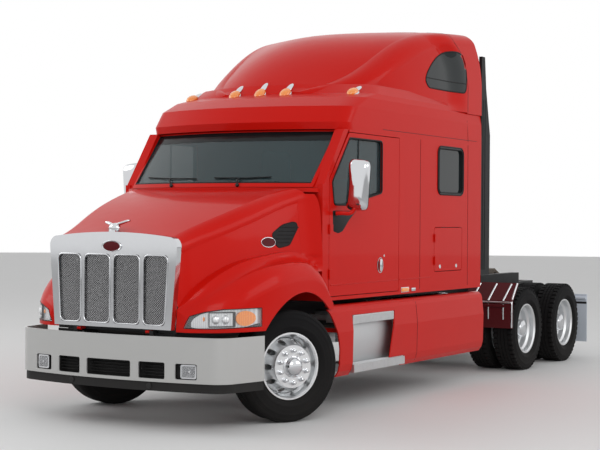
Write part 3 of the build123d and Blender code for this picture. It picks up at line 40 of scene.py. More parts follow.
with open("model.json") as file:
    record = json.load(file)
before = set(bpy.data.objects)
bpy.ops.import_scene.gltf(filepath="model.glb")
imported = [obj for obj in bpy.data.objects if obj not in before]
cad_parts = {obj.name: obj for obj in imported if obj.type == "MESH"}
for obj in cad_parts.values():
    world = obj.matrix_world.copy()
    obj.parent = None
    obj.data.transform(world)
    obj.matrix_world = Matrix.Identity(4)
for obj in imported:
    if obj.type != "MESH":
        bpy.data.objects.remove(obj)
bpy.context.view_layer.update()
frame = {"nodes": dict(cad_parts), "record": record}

import bmesh
import bpy
from bpy.props import FloatProperty, FloatVectorProperty, PointerProperty
from mathutils import Matrix, Vector
from mathutils.bvhtree import BVHTree

FRONT_AXLE_Y = -3.110
AXLE_Z = 0.502
STEER_ANGLE = math.radians(-25.7)
CAB_SIDE_X = 1.140
FAR_SIDE_X = 4.0
FAR_FRONT_Y = -9.0
DOWN = (0.0, 0.0, -1.0)
SIDES = ((1, "left"), (-1, "right"))


def back(distance):
    """The Y of a place that many metres behind the front axle."""
    return FRONT_AXLE_Y + distance


def spot(side, x, y, z):
    """A place so far out to one side, behind the front axle and above the ground."""
    return (side * x, back(y), z)


# ---------------------------------------------------------------- shader maths


class Value:
    """A shader socket that takes part in Python sums: an expression on it adds its Math nodes."""

    def __init__(self, finish, socket):
        self.finish = finish
        self.socket = socket

    def _math(self, operation, *others):
        return self.finish.node("ShaderNodeMath", {"operation": operation}, *others)

    def __add__(self, other):
        return self._math("ADD", self, other)

    def __radd__(self, other):
        return self._math("ADD", other, self)

    def __rsub__(self, other):
        return self._math("SUBTRACT", other, self)

    def __mul__(self, other):
        return self._math("MULTIPLY", self, other)

    def __rmul__(self, other):
        return self._math("MULTIPLY", other, self)

    def __truediv__(self, other):
        return self._math("DIVIDE", self, other)

    def abs(self):
        return self._math("ABSOLUTE", self)

    def sin(self):
        return self._math("SINE", self)

    def most(self, other):
        return self._math("MAXIMUM", self, other)

    def spread(self, low, high):
        """0 below low, 1 above high and straight between them."""
        return self.finish.node("ShaderNodeMapRange", {}, self, low, high)


class Finish:
    """One procedural material, whose nodes are added by expressions."""

    def __init__(self, name, **constants):
        self.material = bpy.data.materials.new(name)
        self.material.use_nodes = True
        self.tree = self.material.node_tree
        self.shader = self.tree.nodes["Principled BSDF"]
        for label, number in constants.items():
            self.shader.inputs[label.replace("_", " ").title().replace("Ior", "IOR")].default_value = number
        self.place = Value(self, self.tree.nodes.new("ShaderNodeTexCoord").outputs["Object"])

    def node(self, kind, settings, *inputs):
        """The first output of a new node, given its settings and its inputs in order."""
        made = self.tree.nodes.new(kind)
        for key, setting in settings.items():
            setattr(made, key, setting)
        for index, given in enumerate(inputs):
            if given is None:
                continue
            if isinstance(given, Value):
                self.tree.links.new(given.socket, made.inputs[index])
            else:
                made.inputs[index].default_value = given
        return Value(self, made.outputs[0])

    def axes(self, place=None):
        """The X, Y and Z of a place as three values."""
        split = self.tree.nodes.new("ShaderNodeSeparateXYZ")
        self.tree.links.new((place or self.place).socket, split.inputs[0])
        return [Value(self, socket) for socket in split.outputs]

    def scaled(self, x, y, z):
        """Object coordinates stretched along each axis."""
        return self.node("ShaderNodeVectorMath", {"operation": "MULTIPLY"}, self.place, (x, y, z))

    def noise(self, scale, detail=3.0, roughness=0.5):
        """Cloudy values round a half, so many to a metre."""
        return self.node("ShaderNodeTexNoise", {}, self.place, None, scale, detail, roughness)

    def cells(self, scale):
        """The distance to the nearest of scattered points, so many to a metre."""
        return self.node("ShaderNodeTexVoronoi", {"feature": "F1"}, self.place, None, scale)

    def flutes(self, scale):
        """0 to 1 and back in upright waves."""
        return (self.axes(self.scaled(scale, scale, 0.0))[0].sin() + 1.0) * 0.5

    def blend(self, amount, first, second):
        """first where amount is 0 and second where it is 1, as colours."""
        mix = self.tree.nodes.new("ShaderNodeMix")
        mix.data_type = "RGBA"
        for index, given in ((0, amount), (6, first), (7, second)):
            if isinstance(given, Value):
                self.tree.links.new(given.socket, mix.inputs[index])
            else:
                mix.inputs[index].default_value = given if index == 0 else (*given, 1.0)
        return Value(self, mix.outputs[2])

    def put(self, **links):
        """Links values to the shader's own sockets."""
        for label, given in links.items():
            self.tree.links.new(given.socket, self.shader.inputs[label.replace("_", " ").title()])
        return self

    def bump(self, height, strength, distance):
        """Raises the surface by a height between 0 and 1."""
        made = self.tree.nodes.new("ShaderNodeBump")
        made.inputs["Strength"].default_value = strength
        made.inputs["Distance"].default_value = distance
        self.tree.links.new(height.socket, made.inputs["Height"])
        self.tree.links.new(made.outputs["Normal"], self.shader.inputs["Normal"])
        return self


DUST = (0.30, 0.27, 0.23)


def road_dust(finish, colour, amount, top):
    """A colour under road dust, and the dust: its full amount at the ground, none at the height top."""
    height = finish.axes()[2]
    patches = finish.noise(5.0, 4.0)
    dust = (1.0 - height / top).most(0.0) * amount * (0.6 + 0.8 * patches)
    return finish.blend(dust, colour, DUST), dust


def painted(name, colour):
    """Glossy body paint under a clear coat, with a faint orange peel."""
    finish = Finish(name, coat_roughness=0.04, coat_ior=1.32, specular_ior_level=0.05)
    cloud = finish.noise(1.3, 2.0)
    deep = tuple(channel * 0.86 for channel in colour)
    base = finish.blend(cloud, deep, colour)
    dusty, dust = road_dust(finish, colour, 0.10, 1.1)
    shade = finish.blend(0.5, base, dusty)
    finish.put(base_color=shade, roughness=0.30 + 0.06 * finish.noise(9.0) + 0.3 * dust)
    finish.put(coat_weight=0.24 - 0.2 * dust)
    return finish.bump(finish.noise(380.0, 1.0), 0.03, 0.001).material


def chrome(name, colour=(0.86, 0.87, 0.88), rough=0.05):
    """Plated or polished metal with faint wipe marks."""
    finish = Finish(name, metallic=1.0)
    smear = finish.noise(6.0, 4.0, 0.6)
    finish.put(base_color=finish.blend(smear, tuple(c * 0.93 for c in colour), colour))
    return finish.put(roughness=rough + 0.07 * smear * smear).material


def satin_plastic(name, colour, rough=0.45, grain=600.0, depth=0.05, dust_top=0.9):
    """Moulded plastic or powder coat: fine grain, a little dust low down."""
    finish = Finish(name, specular_ior_level=0.16)
    dusty, dust = road_dust(finish, colour, 0.06, dust_top)
    finish.put(base_color=dusty, roughness=rough + 0.10 * finish.noise(14.0) + 0.25 * dust)
    return finish.bump(finish.noise(grain, 2.0), depth, 0.001).material


def silver_bumper(name, colour):
    """Silver lacquer over moulded plastic, with a fine metal flake."""
    finish = Finish(name, coat_weight=0.6, coat_roughness=0.12, metallic=0.35)
    flake = finish.cells(900.0)
    dusty, dust = road_dust(finish, colour, 0.12, 0.75)
    base = finish.blend(0.25 * flake, dusty, (0.42, 0.42, 0.43))
    finish.put(base_color=base, roughness=0.32 + 0.08 * finish.noise(11.0) + 0.3 * dust)
    return finish.material


def rubber(name, colour):
    """Tyre rubber: near black, dusty on the shoulders, finely pitted."""
    finish = Finish(name, specular_ior_level=0.08)
    dusty, _ = road_dust(finish, colour, 0.035, 1.3)
    finish.put(base_color=dusty, roughness=0.62 + 0.18 * finish.noise(7.0, 4.0))
    return finish.bump(finish.noise(240.0, 3.0), 0.12, 0.001).material


def cast_iron(name, colour):
    """Rough cast or forged metal under road film."""
    finish = Finish(name, metallic=0.25)
    film = finish.noise(12.0, 5.0, 0.65)
    finish.put(base_color=finish.blend(film.spread(0.35, 0.75), colour, (0.16, 0.12, 0.085)))
    finish.put(roughness=0.55 + 0.3 * film)
    return finish.bump(finish.noise(160.0, 4.0), 0.25, 0.002).material


def clear_glass(name, tint, alpha, rough=0.02, shine=0.45):
    """Window glass, seen through by its alpha."""
    finish = Finish(name, alpha=alpha, specular_ior_level=shine, coat_weight=0.1, coat_roughness=0.01)
    haze = finish.noise(3.0, 3.0)
    finish.put(base_color=finish.blend(haze, tint, tuple(c * 1.25 for c in tint)), roughness=rough + 0.03 * haze)
    finish.material.surface_render_method = "BLENDED"
    return finish.material


def lamp_bowl(name):
    """Bright moulded reflector behind a lens, fluted up and down."""
    finish = Finish(name, metallic=0.45, specular_ior_level=0.6)
    flute = finish.flutes(420.0)
    finish.put(base_color=finish.blend(flute, (0.66, 0.68, 0.70), (0.88, 0.89, 0.90)))
    finish.put(roughness=0.12 + 0.15 * flute)
    return finish.bump(flute, 0.4, 0.002).material


def amber_lens(name, colour=(0.90, 0.25, 0.02)):
    """Moulded coloured lens with vertical fluting."""
    finish = Finish(name, coat_weight=1.0, coat_roughness=0.03)
    flute = finish.flutes(700.0)
    light = tuple(min(1.0, channel * 1.3) for channel in colour)
    finish.put(base_color=finish.blend(flute, colour, light), roughness=0.15 + 0.1 * flute)
    return finish.bump(flute, 0.25, 0.002).material


def woven(name, colour):
    """Seat cloth: a plain weave over a soft colour drift."""
    finish = Finish(name, sheen_weight=0.3, roughness=0.9)
    x, y, z = finish.axes(finish.scaled(1400.0, 1400.0, 1400.0))
    weave = (x + y).sin() * (z + y).sin()
    drift = finish.noise(8.0, 3.0)
    finish.put(base_color=finish.blend(drift, tuple(c * 0.8 for c in colour), colour))
    return finish.bump(weave * 0.5 + 0.5, 0.3, 0.001).material


def tread_plate(name, colour):
    """Aluminium step plate with raised studs."""
    finish = Finish(name, metallic=0.9)
    x, y, _ = finish.axes(finish.scaled(170.0, 170.0, 170.0))
    stud = (x.sin() * y.sin()).abs().spread(0.72, 0.86)
    wear = finish.noise(25.0, 4.0)
    finish.put(base_color=finish.blend(wear, tuple(c * 0.75 for c in colour), colour))
    finish.put(roughness=0.28 + 0.25 * wear)
    return finish.bump(stud, 0.5, 0.003).material


def make_finishes(colours):
    """Every finish, by the slot or the use that it is for."""
    return {
        "paint": painted("Body Paint", tuple(colours.paint)),
        "frame_black": satin_plastic("Frame Enamel", (0.018, 0.018, 0.019), 0.38, 90.0, 0.06),
        "bumper_silver": silver_bumper("Bumper Lacquer", tuple(colours.bumper)),
        "bright_metal": chrome("Chrome Plate", (0.66, 0.67, 0.69)),
        "wheel_alloy": chrome("Polished Alloy", (0.78, 0.79, 0.80), 0.32),
        "mesh": chrome("Grille Wire", (0.62, 0.62, 0.63), 0.22),
        "black_plastic": satin_plastic("Black Moulding", (0.010, 0.010, 0.011)),
        "tyre": rubber("Tyre Rubber", (0.006, 0.006, 0.007)),
        "glass": clear_glass("Tinted Glass", (0.030, 0.056, 0.062), 0.58),
        "lamp_clear": clear_glass("Lamp Lens", (0.70, 0.72, 0.74), 0.13),
        "lamp_amber": amber_lens("Amber Lens"),
        "flap_white": satin_plastic("White Flap", (0.56, 0.61, 0.68), 0.5, 200.0, 0.04),
        "iron": cast_iron("Road Worn Iron", (0.045, 0.042, 0.040)),
        "step_alloy": tread_plate("Step Plate", (0.62, 0.63, 0.64)),
        "tank_alloy": chrome("Tank Alloy", (0.60, 0.61, 0.62), 0.25),
        "riser": chrome("Brushed Riser", (0.56, 0.57, 0.58), 0.48),
        "trim_grey": satin_plastic("Cabin Trim", (0.075, 0.072, 0.068), 0.7, 900.0, 0.08, 0.1),
        "cloth": woven("Woven Cloth", (0.085, 0.080, 0.078)),
        # On the quarter fenders this dark maroon is a painted reflection of the red fairings in their polished
        # steel; on the oval plates it is their own colour.
        "maroon_and_painted_reflection": painted("Dark Maroon And Painted Reflection", (0.10, 0.010, 0.014)),
        "reflector": lamp_bowl("Lamp Reflector"),
        "mirror": chrome("Mirror Glass", (0.62, 0.66, 0.70), 0.01),
        "gloss_black": satin_plastic("Black Glass Band", (0.010, 0.010, 0.011), 0.08, 30.0, 0.0, 0.1),
        "dark_glass": clear_glass("Privacy Glass", (0.010, 0.014, 0.015), 1.0, 0.04, 0.22),
        "red_lens": amber_lens("Red Lens", (0.55, 0.012, 0.010)),
        "coupling_red": satin_plastic("Red Coupling", (0.30, 0.015, 0.012), 0.4),
        "coupling_blue": satin_plastic("Blue Coupling", (0.015, 0.05, 0.25), 0.4),
    }


finishes = {}


# ---------------------------------------------------------------- mesh helpers

SHARP = math.radians(32.0)
SOFT = math.radians(50.0)
BLENDED = math.radians(60.0)


def link_piece(name, mesh, slot, body, finish=None):
    """An object at the origin for a finished mesh, riding on a body, in its slot's finish."""
    made = bpy.data.objects.new(name, mesh)
    bpy.context.scene.collection.objects.link(made)
    made.data.materials.append(finishes[finish or slot])
    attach(made, body)
    return made


def piece(name, bm, slot, body, finish=None, smooth=SHARP):
    """A finished mesh: smooth but for its sharp edges, riding on a body, in its slot's finish."""
    for edge in bm.edges:
        edge.smooth = len(edge.link_faces) == 2 and edge.calc_face_angle(0.0) < smooth
    for face in bm.faces:
        face.smooth = True
    mesh = bpy.data.meshes.new(name)
    bm.to_mesh(mesh)
    bm.free()
    return link_piece(name, mesh, slot, body, finish)


def moved(bm, verts, matrix):
    """Places the given vertices, all new ones of a shape, by a matrix."""
    bmesh.ops.transform(bm, matrix=matrix, verts=verts)
    return verts


def add_block(bm, low, high, round_off=0.0):
    """A box between two corners, with rounded edges."""
    low, high = Vector(low), Vector(high)
    middle, size = (low + high) / 2, high - low
    verts = bmesh.ops.create_cube(bm, size=1.0)["verts"]
    bmesh.ops.scale(bm, vec=[abs(extent) for extent in size], verts=verts)
    if round_off:
        made = bmesh.ops.bevel(
            bm, geom=edges_of(verts), offset=round_off, segments=3, affect="EDGES", profile=0.5, material=-1)
        verts = linked(list(set(made["verts"]) | {vert for face in made["faces"] for vert in face.verts}))
    return moved(bm, verts, Matrix.Translation(middle))


def edges_of(verts):
    """Every edge at the given vertices, once."""
    return list({edge for vert in verts for edge in vert.link_edges})


def outward(bm, verts):
    """Turns the faces at the given vertices outward."""
    bmesh.ops.recalc_face_normals(bm, faces=list({face for vert in verts for face in vert.link_faces}))


def linked(verts):
    """Every vertex joined to the given ones by edges."""
    seen, queue = set(verts), list(verts)
    while queue:
        for edge in queue.pop().link_edges:
            for vert in edge.verts:
                if vert not in seen:
                    seen.add(vert)
                    queue.append(vert)
    return list(seen)


def add_pair(bm, low, high, round_off=0.0):
    """A block on both sides, between two corners given as spots."""
    for side, _ in SIDES:
        add_block(bm, spot(side, *low), spot(side, *high), round_off)


def add_rod(bm, start, end, radius, segments=16, end_radius=None):
    """A round bar between two points."""
    start, end = Vector(start), Vector(end)
    along = end - start
    verts = bmesh.ops.create_cone(
        bm, cap_ends=True, segments=segments, radius1=radius,
        radius2=radius if end_radius is None else end_radius, depth=along.length)["verts"]
    turn = along.to_track_quat("Z", "Y").to_matrix().to_4x4()
    moved(bm, verts, Matrix.Translation((start + end) / 2) @ turn)


def add_ball(bm, middle, radii, turn=Matrix.Identity(4)):
    """A ball stretched to three radii and turned."""
    verts = bmesh.ops.create_uvsphere(bm, u_segments=24, v_segments=12, radius=1.0)["verts"]
    bmesh.ops.scale(bm, vec=radii, verts=verts)
    moved(bm, verts, Matrix.Translation(middle) @ turn)


def add_spun(bm, profile, steps=64, matrix=None):
    """A profile of (along the X axis, radius) turned a full circle about X."""
    verts = [bm.verts.new((x, 0.0, radius)) for x, radius in profile]
    edges = [bm.edges.new(pair) for pair in zip(verts, verts[1:])]
    bmesh.ops.spin(
        bm, geom=verts + edges, cent=(0.0, 0.0, 0.0), axis=(1.0, 0.0, 0.0), angle=math.tau, steps=steps,
        use_merge=True)
    everything = linked(verts)
    bmesh.ops.remove_doubles(bm, verts=everything, dist=1e-6)
    if matrix is not None:
        moved(bm, [vert for vert in everything if vert.is_valid], matrix)


def add_plate(bm, outline, thickness, round_off=0.0):
    """A flat outline of 3-D points thickened along its normal, or by a vector, with rounded edges."""
    face = bm.faces.new([bm.verts.new(point) for point in outline])
    bm.normal_update()
    normal = face.normal.copy()
    made = bmesh.ops.extrude_face_region(bm, geom=[face])
    top = [item for item in made["geom"] if isinstance(item, bmesh.types.BMVert)]
    run = thickness if isinstance(thickness, Vector) else normal * thickness
    bmesh.ops.translate(bm, vec=run, verts=top)
    verts = linked(top)
    outward(bm, verts)
    if round_off:
        bmesh.ops.bevel(
            bm, geom=edges_of(verts), offset=round_off, segments=2, affect="EDGES", profile=0.5, material=-1)


def add_loft(bm, rings):
    """A closed solid through rings of as many places each."""
    rings = [[bm.verts.new(place) for place in ring] for ring in rings]
    faces = [bm.faces.new(rings[0]), bm.faces.new(rings[-1])]
    for first, second in zip(rings, rings[1:]):
        faces += [bm.faces.new((first[i - 1], first[i], second[i], second[i - 1])) for i in range(len(first))]
    bmesh.ops.recalc_face_normals(bm, faces=faces)


def rounded(points, radius, segments=5):
    """A closed outline of 2-D points with its corners rounded."""
    made = []
    count = len(points)
    for index, point in enumerate(points):
        here = Vector(point)
        before = Vector(points[index - 1]) - here
        after = Vector(points[(index + 1) % count]) - here
        reach = min(radius, before.length * 0.45, after.length * 0.45)
        start, end = here + before.normalized() * reach, here + after.normalized() * reach
        for step in range(segments + 1):
            t = step / segments
            made.append(start * (1 - t) ** 2 + here * 2 * t * (1 - t) + end * t ** 2)
    return made


def dense(outline, step):
    """A closed outline with no side longer than a step."""
    made = []
    for start, end in zip(outline, outline[1:] + outline[:1]):
        count = math.ceil((end - start).length / step) or 1
        made += [start.lerp(end, index / count) for index in range(count)]
    return made


def add_band(bm, inner, outer, lift):
    """A flat ring between two outlines of as many points, lifted by a vector into a solid strip."""
    rows = []
    for shift in (Vector((0, 0, 0)), Vector(lift)):
        rows.append([bm.verts.new(Vector(p) + shift) for p in inner])
        rows.append([bm.verts.new(Vector(p) + shift) for p in outer])
    low_in, low_out, high_in, high_out = rows
    loops = []
    for loop in (low_in, low_out, high_out, high_in):
        loops.append([bm.edges.new((loop[i], loop[(i + 1) % len(loop)])) for i in range(len(loop))])
    for first, second in ((0, 1), (1, 2), (2, 3), (3, 0)):
        bmesh.ops.bridge_loops(bm, edges=loops[first] + loops[second])
    outward(bm, [vert for row in rows for vert in row])


def pipe(name, points, radius, slot, body, closed=False, curved=False):
    """A round pipe or moulding along straight runs between the points, or a curve through them."""
    curve = bpy.data.curves.new(name, "CURVE")
    curve.dimensions = "3D"
    curve.bevel_depth = radius
    curve.bevel_resolution = 3
    curve.resolution_u = 6
    curve.use_fill_caps = True
    spline = curve.splines.new("BEZIER" if curved else "POLY")
    if curved:
        spline.bezier_points.add(len(points) - 1)
        for knot, point in zip(spline.bezier_points, points):
            knot.co = point
            knot.handle_left_type = knot.handle_right_type = "AUTO"
    else:
        spline.points.add(len(points) - 1)
        for knot, point in zip(spline.points, points):
            knot.co = (*point, 1.0)
    spline.use_cyclic_u = closed
    holder = bpy.data.objects.new(name, curve)
    bpy.context.scene.collection.objects.link(holder)
    mesh = bpy.data.meshes.new_from_object(holder)
    bpy.data.objects.remove(holder)
    bpy.data.curves.remove(curve)
    bm = bmesh.new()
    bm.from_mesh(mesh)
    bpy.data.meshes.remove(mesh)
    return piece(name, bm, slot, body, smooth=SOFT)


TREES = {}


def solid_tree(node):
    """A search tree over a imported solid's faces."""
    if node not in TREES:
        mesh = frame["nodes"][node].data
        corners = [vert.co[:] for vert in mesh.vertices]
        TREES[node] = BVHTree.FromPolygons(corners, [face.vertices[:] for face in mesh.polygons])
    return TREES[node]


def touch(node, start, direction, lift=0.0):
    """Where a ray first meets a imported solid, lifted off its surface."""
    place, normal, _, _ = solid_tree(node).ray_cast(Vector(start), Vector(direction))
    if place is None:
        return None
    if normal.dot(Vector(direction)) > 0:
        normal = -normal
    return place + normal * lift


def laid(node, starts, direction, lift):
    """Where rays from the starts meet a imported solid, without those that miss it."""
    found = [touch(node, start, direction, lift) for start in starts]
    return [point for point in found if point is not None]


def from_side(node, side, line, lift=0.0):
    """Points of (behind the axle, height) laid on a solid's left or right face."""
    return laid(node, [spot(side, FAR_SIDE_X, y, z) for y, z in line], (-side, 0.0, 0.0), lift)


def from_front(node, line, lift=0.0):
    """Points of (X, height) laid on a solid's front face."""
    return laid(node, [(x, FAR_FRONT_Y, z) for x, z in line], (0.0, 1.0, 0.0), lift)


def merged(node):
    """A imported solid's mesh with its doubled vertices joined."""
    bm = bmesh.new()
    bm.from_mesh(frame["nodes"][node].data)
    bmesh.ops.remove_doubles(bm, verts=bm.verts, dist=1e-5)
    return bm


SHOWN_LEAST = 0.35
POINT_GAP = 0.006


def outlines(node, facing):
    """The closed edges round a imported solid's faces that look one way."""
    bm = merged(node)
    bm.normal_update()
    facing = Vector(facing).normalized()
    shown = {face for face in bm.faces if face.normal.dot(facing) > SHOWN_LEAST}
    rim = [edge for edge in bm.edges if sum(face in shown for face in edge.link_faces) == 1]
    left, loops = set(rim), []
    for edge in rim:
        if edge not in left:
            continue
        left.discard(edge)
        first, here = edge.verts
        line = [first.co.copy()]
        while here is not first:
            line.append(here.co.copy())
            step = next((other for other in here.link_edges if other in left), None)
            if step is None:
                break
            left.discard(step)
            here = step.other_vert(here)
        kept = [line[0]]
        for point in line[1:]:
            if (point - kept[-1]).length > POINT_GAP:
                kept.append(point)
        loops.append(kept)
    bm.free()
    return loops


def gasket(name, node, facing, radius, slot, body, side=0, above=0.0, largest=9.0):
    """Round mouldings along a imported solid's edges, on one side, above a height and up to a size."""
    count = 0
    for loop in outlines(node, facing):
        middle = sum(loop, Vector()) / len(loop)
        longest = max((point - middle).length for point in loop)
        if not 0.05 < longest < largest or middle.x * side < 0 or middle.z < above:
            continue
        pipe(f"{name}_{count}", loop, radius, slot, body, closed=True)
        count += 1


PATCH_DEPTH = 0.004


def add_patch(bm, lay, outline, lift, rings):
    """A thin shell inside an outline: lay gives the places of a flat line's points at a rise."""
    outline = [Vector(point) for point in outline]
    middle = sum(outline, Vector((0.0, 0.0))) / len(outline)
    shells = []
    for rise in (lift, -PATCH_DEPTH):
        rows = []
        for ring in range(rings):
            share = 1.0 - ring / rings
            rows.append([bm.verts.new(p) for p in lay([middle + (p - middle) * share for p in outline], rise)])
        centre = bm.verts.new(lay([middle], rise)[0])
        shells.append((rows, centre))
    count = len(outline)
    faces = []
    for rows, centre in shells:
        for outer, inner in zip(rows, rows[1:]):
            faces += [bm.faces.new((outer[i - 1], outer[i], inner[i], inner[i - 1])) for i in range(count)]
        faces += [bm.faces.new((rows[-1][i - 1], rows[-1][i], centre)) for i in range(count)]
    top, low = shells[0][0][0], shells[1][0][0]
    faces += [bm.faces.new((top[i - 1], low[i - 1], low[i], top[i])) for i in range(count)]
    bmesh.ops.recalc_face_normals(bm, faces=faces)


def turned_to(direction, middle):
    """A matrix that points the X axis in a direction from a middle."""
    turn = Vector((1.0, 0.0, 0.0)).rotation_difference(Vector(direction)).to_matrix().to_4x4()
    return Matrix.Translation(middle) @ turn


def block_pieces(rows):
    """Pieces of plain blocks, one on each side where the name has a place for the side's word."""
    for name, slot, body, blocks in rows:
        for side, word in SIDES if "{}" in name else SIDES[:1]:
            bm = bmesh.new()
            for low, high, round_off in blocks:
                add_block(bm, spot(side, *low), spot(side, *high), round_off)
            piece(name.format(word), bm, slot, body.format(word))


# ---------------------------------------------------------------- settings


class TRACTOR_PG_colours(bpy.types.PropertyGroup):
    """Colours that a user would change."""

    paint: FloatVectorProperty(
        name="Body Paint", description="Colour of the cab, hood and fairings",
        default=(0.60, 0.008, 0.004), subtype="COLOR", min=0.0, max=1.0,
    )
    bumper: FloatVectorProperty(
        name="Bumper", description="Colour of the bumper lacquer",
        default=(0.47, 0.47, 0.46), subtype="COLOR", min=0.0, max=1.0,
    )
    floor: FloatVectorProperty(
        name="Floor", description="Colour of the studio floor",
        default=(0.78, 0.78, 0.78), subtype="COLOR", min=0.0, max=1.0,
    )


class TRACTOR_PG_stage(bpy.types.PropertyGroup):
    """The studio round the vehicle."""

    floor_radius: FloatProperty(
        name="Floor Radius", description="Radius of the studio floor",
        default=60.0, unit="LENGTH", min=10.0,
    )
    lens: FloatProperty(
        name="Lens", description="Focal length of the camera", default=84.35, subtype="DISTANCE_CAMERA", min=10.0,
    )


# ---------------------------------------------------------------- operators

# The quarter fenders get the dark maroon as a painted reflection of the red fairings in their polished steel.
NODE_FINISHES = {"quarter_fenders": "maroon_and_painted_reflection", "roof_windows": "dark_glass", "sleeper_windows": "dark_glass"}


class TRACTOR_OT_finishes(bpy.types.Operator):
    """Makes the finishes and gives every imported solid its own"""

    bl_idname = "tractor.finishes"
    bl_label = "Finishes"

    def execute(self, context):
        finishes.update(make_finishes(context.scene.tractor_colours))
        for row in frame["record"]["subparts"]:
            mesh = frame["nodes"][row["node"]].data
            mesh.materials.clear()
            mesh.materials.append(finishes[NODE_FINISHES.get(row["node"], row["material_slot"])])
        return {"FINISHED"}


MESH_PITCH = 0.020
MESH_WIRE = 0.0019
MESH_Y = back(-1.235)
GRILLE_Y = back(-1.2565)
GRILLE_EDGES = (-1.0, -0.53, 0.0, 0.53, 1.0)
WINDOW_Z = (0.900, 1.500)
WINDOW_HALF = (0.568, 0.604)
BAR_HALF = 0.015
BAFFLE = [((low, -1.186, foot), (high, -1.180, top), 0.0) for low, high, foot, top in (
    (-0.640, 0.640, 0.874, 1.560), (-0.640, -0.450, 0.836, 0.874), (-0.338, 0.338, 0.836, 0.874),
    (0.450, 0.640, 0.836, 0.874))]
PLATE_SIZE = (0.108, 1.0, 0.050, 1.0)
PLATE_RIM = ((0.0, 0.0), (0.0, 1.0), (0.006, 1.0), (0.010, 0.95), (0.006, 0.87), (0.005, 0.0))
PLATE_FACE = ((0.003, 0.0), (0.003, 0.86), (0.007, 0.83), (0.009, 0.4), (0.0095, 0.0))
WING = ((0.0, -1.212), (0.060, -1.208), (0.124, -1.192), (0.124, -1.148), (0.060, -1.146), (0.0, -1.130))


def grille_window(index, grow=0.0):
    """The corners in front view of one of the four grille windows."""
    corners = []
    for edge, inward in ((GRILLE_EDGES[index], 1), (GRILLE_EDGES[index + 1], -1)):
        for z in (WINDOW_Z[0] - grow, WINDOW_Z[1] + grow):
            share = (z - WINDOW_Z[0]) / (WINDOW_Z[1] - WINDOW_Z[0])
            half = WINDOW_HALF[0] + (WINDOW_HALF[1] - WINDOW_HALF[0]) * share
            x = edge * half if abs(edge) == 1.0 else edge * WINDOW_HALF[1] + inward * BAR_HALF
            corners.append((x - inward * grow, z))
    return [corners[0], corners[2], corners[3], corners[1]]


def clipped(start, end, corners):
    """The share of a line inside a convex outline given anticlockwise, or None."""
    low, high = 0.0, 1.0
    run = end - start
    for index, corner in enumerate(corners):
        edge = Vector(corner) - Vector(corners[index - 1])
        inward = Vector((-edge.y, edge.x))
        gap, slope = (start - Vector(corner)).dot(inward), run.dot(inward)
        if abs(slope) < 1e-9:
            if gap < 0:
                return None
            continue
        cross = -gap / slope
        if slope > 0:
            low = max(low, cross)
        else:
            high = min(high, cross)
    return (start + run * low, start + run * high) if high - low > 0.01 else None


class TRACTOR_OT_grille(bpy.types.Operator):
    """Weaves the grille's wire and fits its lips, plate and ornament"""

    bl_idname = "tractor.grille"
    bl_label = "Grille"

    def execute(self, context):
        bm = bmesh.new()
        for index in range(4):
            corners = grille_window(index, 0.006)
            left, right = min(x for x, _ in corners), max(x for x, _ in corners)
            for lean in (-1, 1):
                count = int((right - left + 0.7) / MESH_PITCH) + 2
                for step in range(-count, count):
                    foot = (left + right) / 2 + step * MESH_PITCH
                    run = clipped(Vector((foot - lean * 0.7, 0.5)), Vector((foot + lean * 0.7, 1.9)), corners)
                    if run:
                        y = MESH_Y + lean * MESH_WIRE
                        add_rod(bm, (run[0].x, y, run[0].y), (run[1].x, y, run[1].y), MESH_WIRE, 6)
        wire = piece("grille_wire", bm, "mesh", "hood")
        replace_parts(wire, "grille_mesh")
        for index in range(4):
            line = [(x, GRILLE_Y, z) for x, z in rounded(grille_window(index, -0.004), 0.060, 6)]
            pipe(f"grille_lip_{index}", line, 0.0065, "bright_metal", "hood", closed=True)
        block_pieces([("grille_baffle", "frame_black", "hood", BAFFLE)])
        self.plate()
        self.ornament()
        return {"FINISHED"}

    def plate(self):
        """A bare oval with a bright rim at the top of the middle bar."""
        place = Matrix.Translation((0.0, GRILLE_Y + 0.001, 1.566)) @ Matrix.Diagonal(PLATE_SIZE)
        place = place @ turned_to((0.0, -1.0, 0.0), (0.0, 0.0, 0.0))
        rows = (("plate_rim", PLATE_RIM, "bright_metal", None), ("plate", PLATE_FACE, "paint", "maroon_and_painted_reflection"))
        for name, profile, slot, finish in rows:
            bm = bmesh.new()
            add_spun(bm, profile, 48, place)
            piece(f"grille_{name}", bm, slot, "hood", finish)

    def ornament(self):
        """A pair of swept wings on a stalk, over the grille's crown."""
        bm = bmesh.new()
        add_rod(bm, (0.0, back(-1.185), 1.690), (0.0, back(-1.170), 1.752), 0.020, 20, 0.009)
        for side, _ in SIDES:
            add_plate(bm, [spot(side, x, y, 1.744 + x * 0.30) for x, y in WING], 0.016, 0.005)
        add_ball(bm, (0.0, back(-1.205), 1.755), (0.012, 0.030, 0.012))
        piece("hood_ornament", bm, "bright_metal", "hood")


LAMP_PLAN = (
    (0.775, -1.180), (0.854, -1.148), (0.918, -1.108), (0.999, -1.033), (1.064, -0.934), (1.116, -0.812),
    (1.148, -0.706), (1.159, -0.655),
)
LAMP_SPAN = (
    (0.780, 0.906, 0.930), (0.800, 0.897, 0.962), (0.854, 0.892, 0.996), (0.918, 0.890, 1.016),
    (0.999, 0.890, 1.030), (1.064, 0.893, 1.038), (1.116, 0.900, 1.042), (1.150, 0.925, 1.044),
)

LAMP_ENDS = (0.772, 1.160)
BEAM_BOX_X = (0.914, 1.068)
BEAM_BOX_Z = (0.897, 1.024)
BEAM_BAR = 0.008
BEAM_X = (0.962, 1.020)
TURN_X, TURN_Z = 1.107, 0.966
TURN_HALF_X, TURN_HALF_Z = 0.037, 0.063


def between(table, x, column):
    """A column of a table, straight between its rows."""
    for low, high in zip(table, table[1:]):
        if x <= high[0]:
            share = max(0.0, (x - low[0]) / (high[0] - low[0]))
            return low[column] + (high[column] - low[column]) * share
    return table[-1][column]


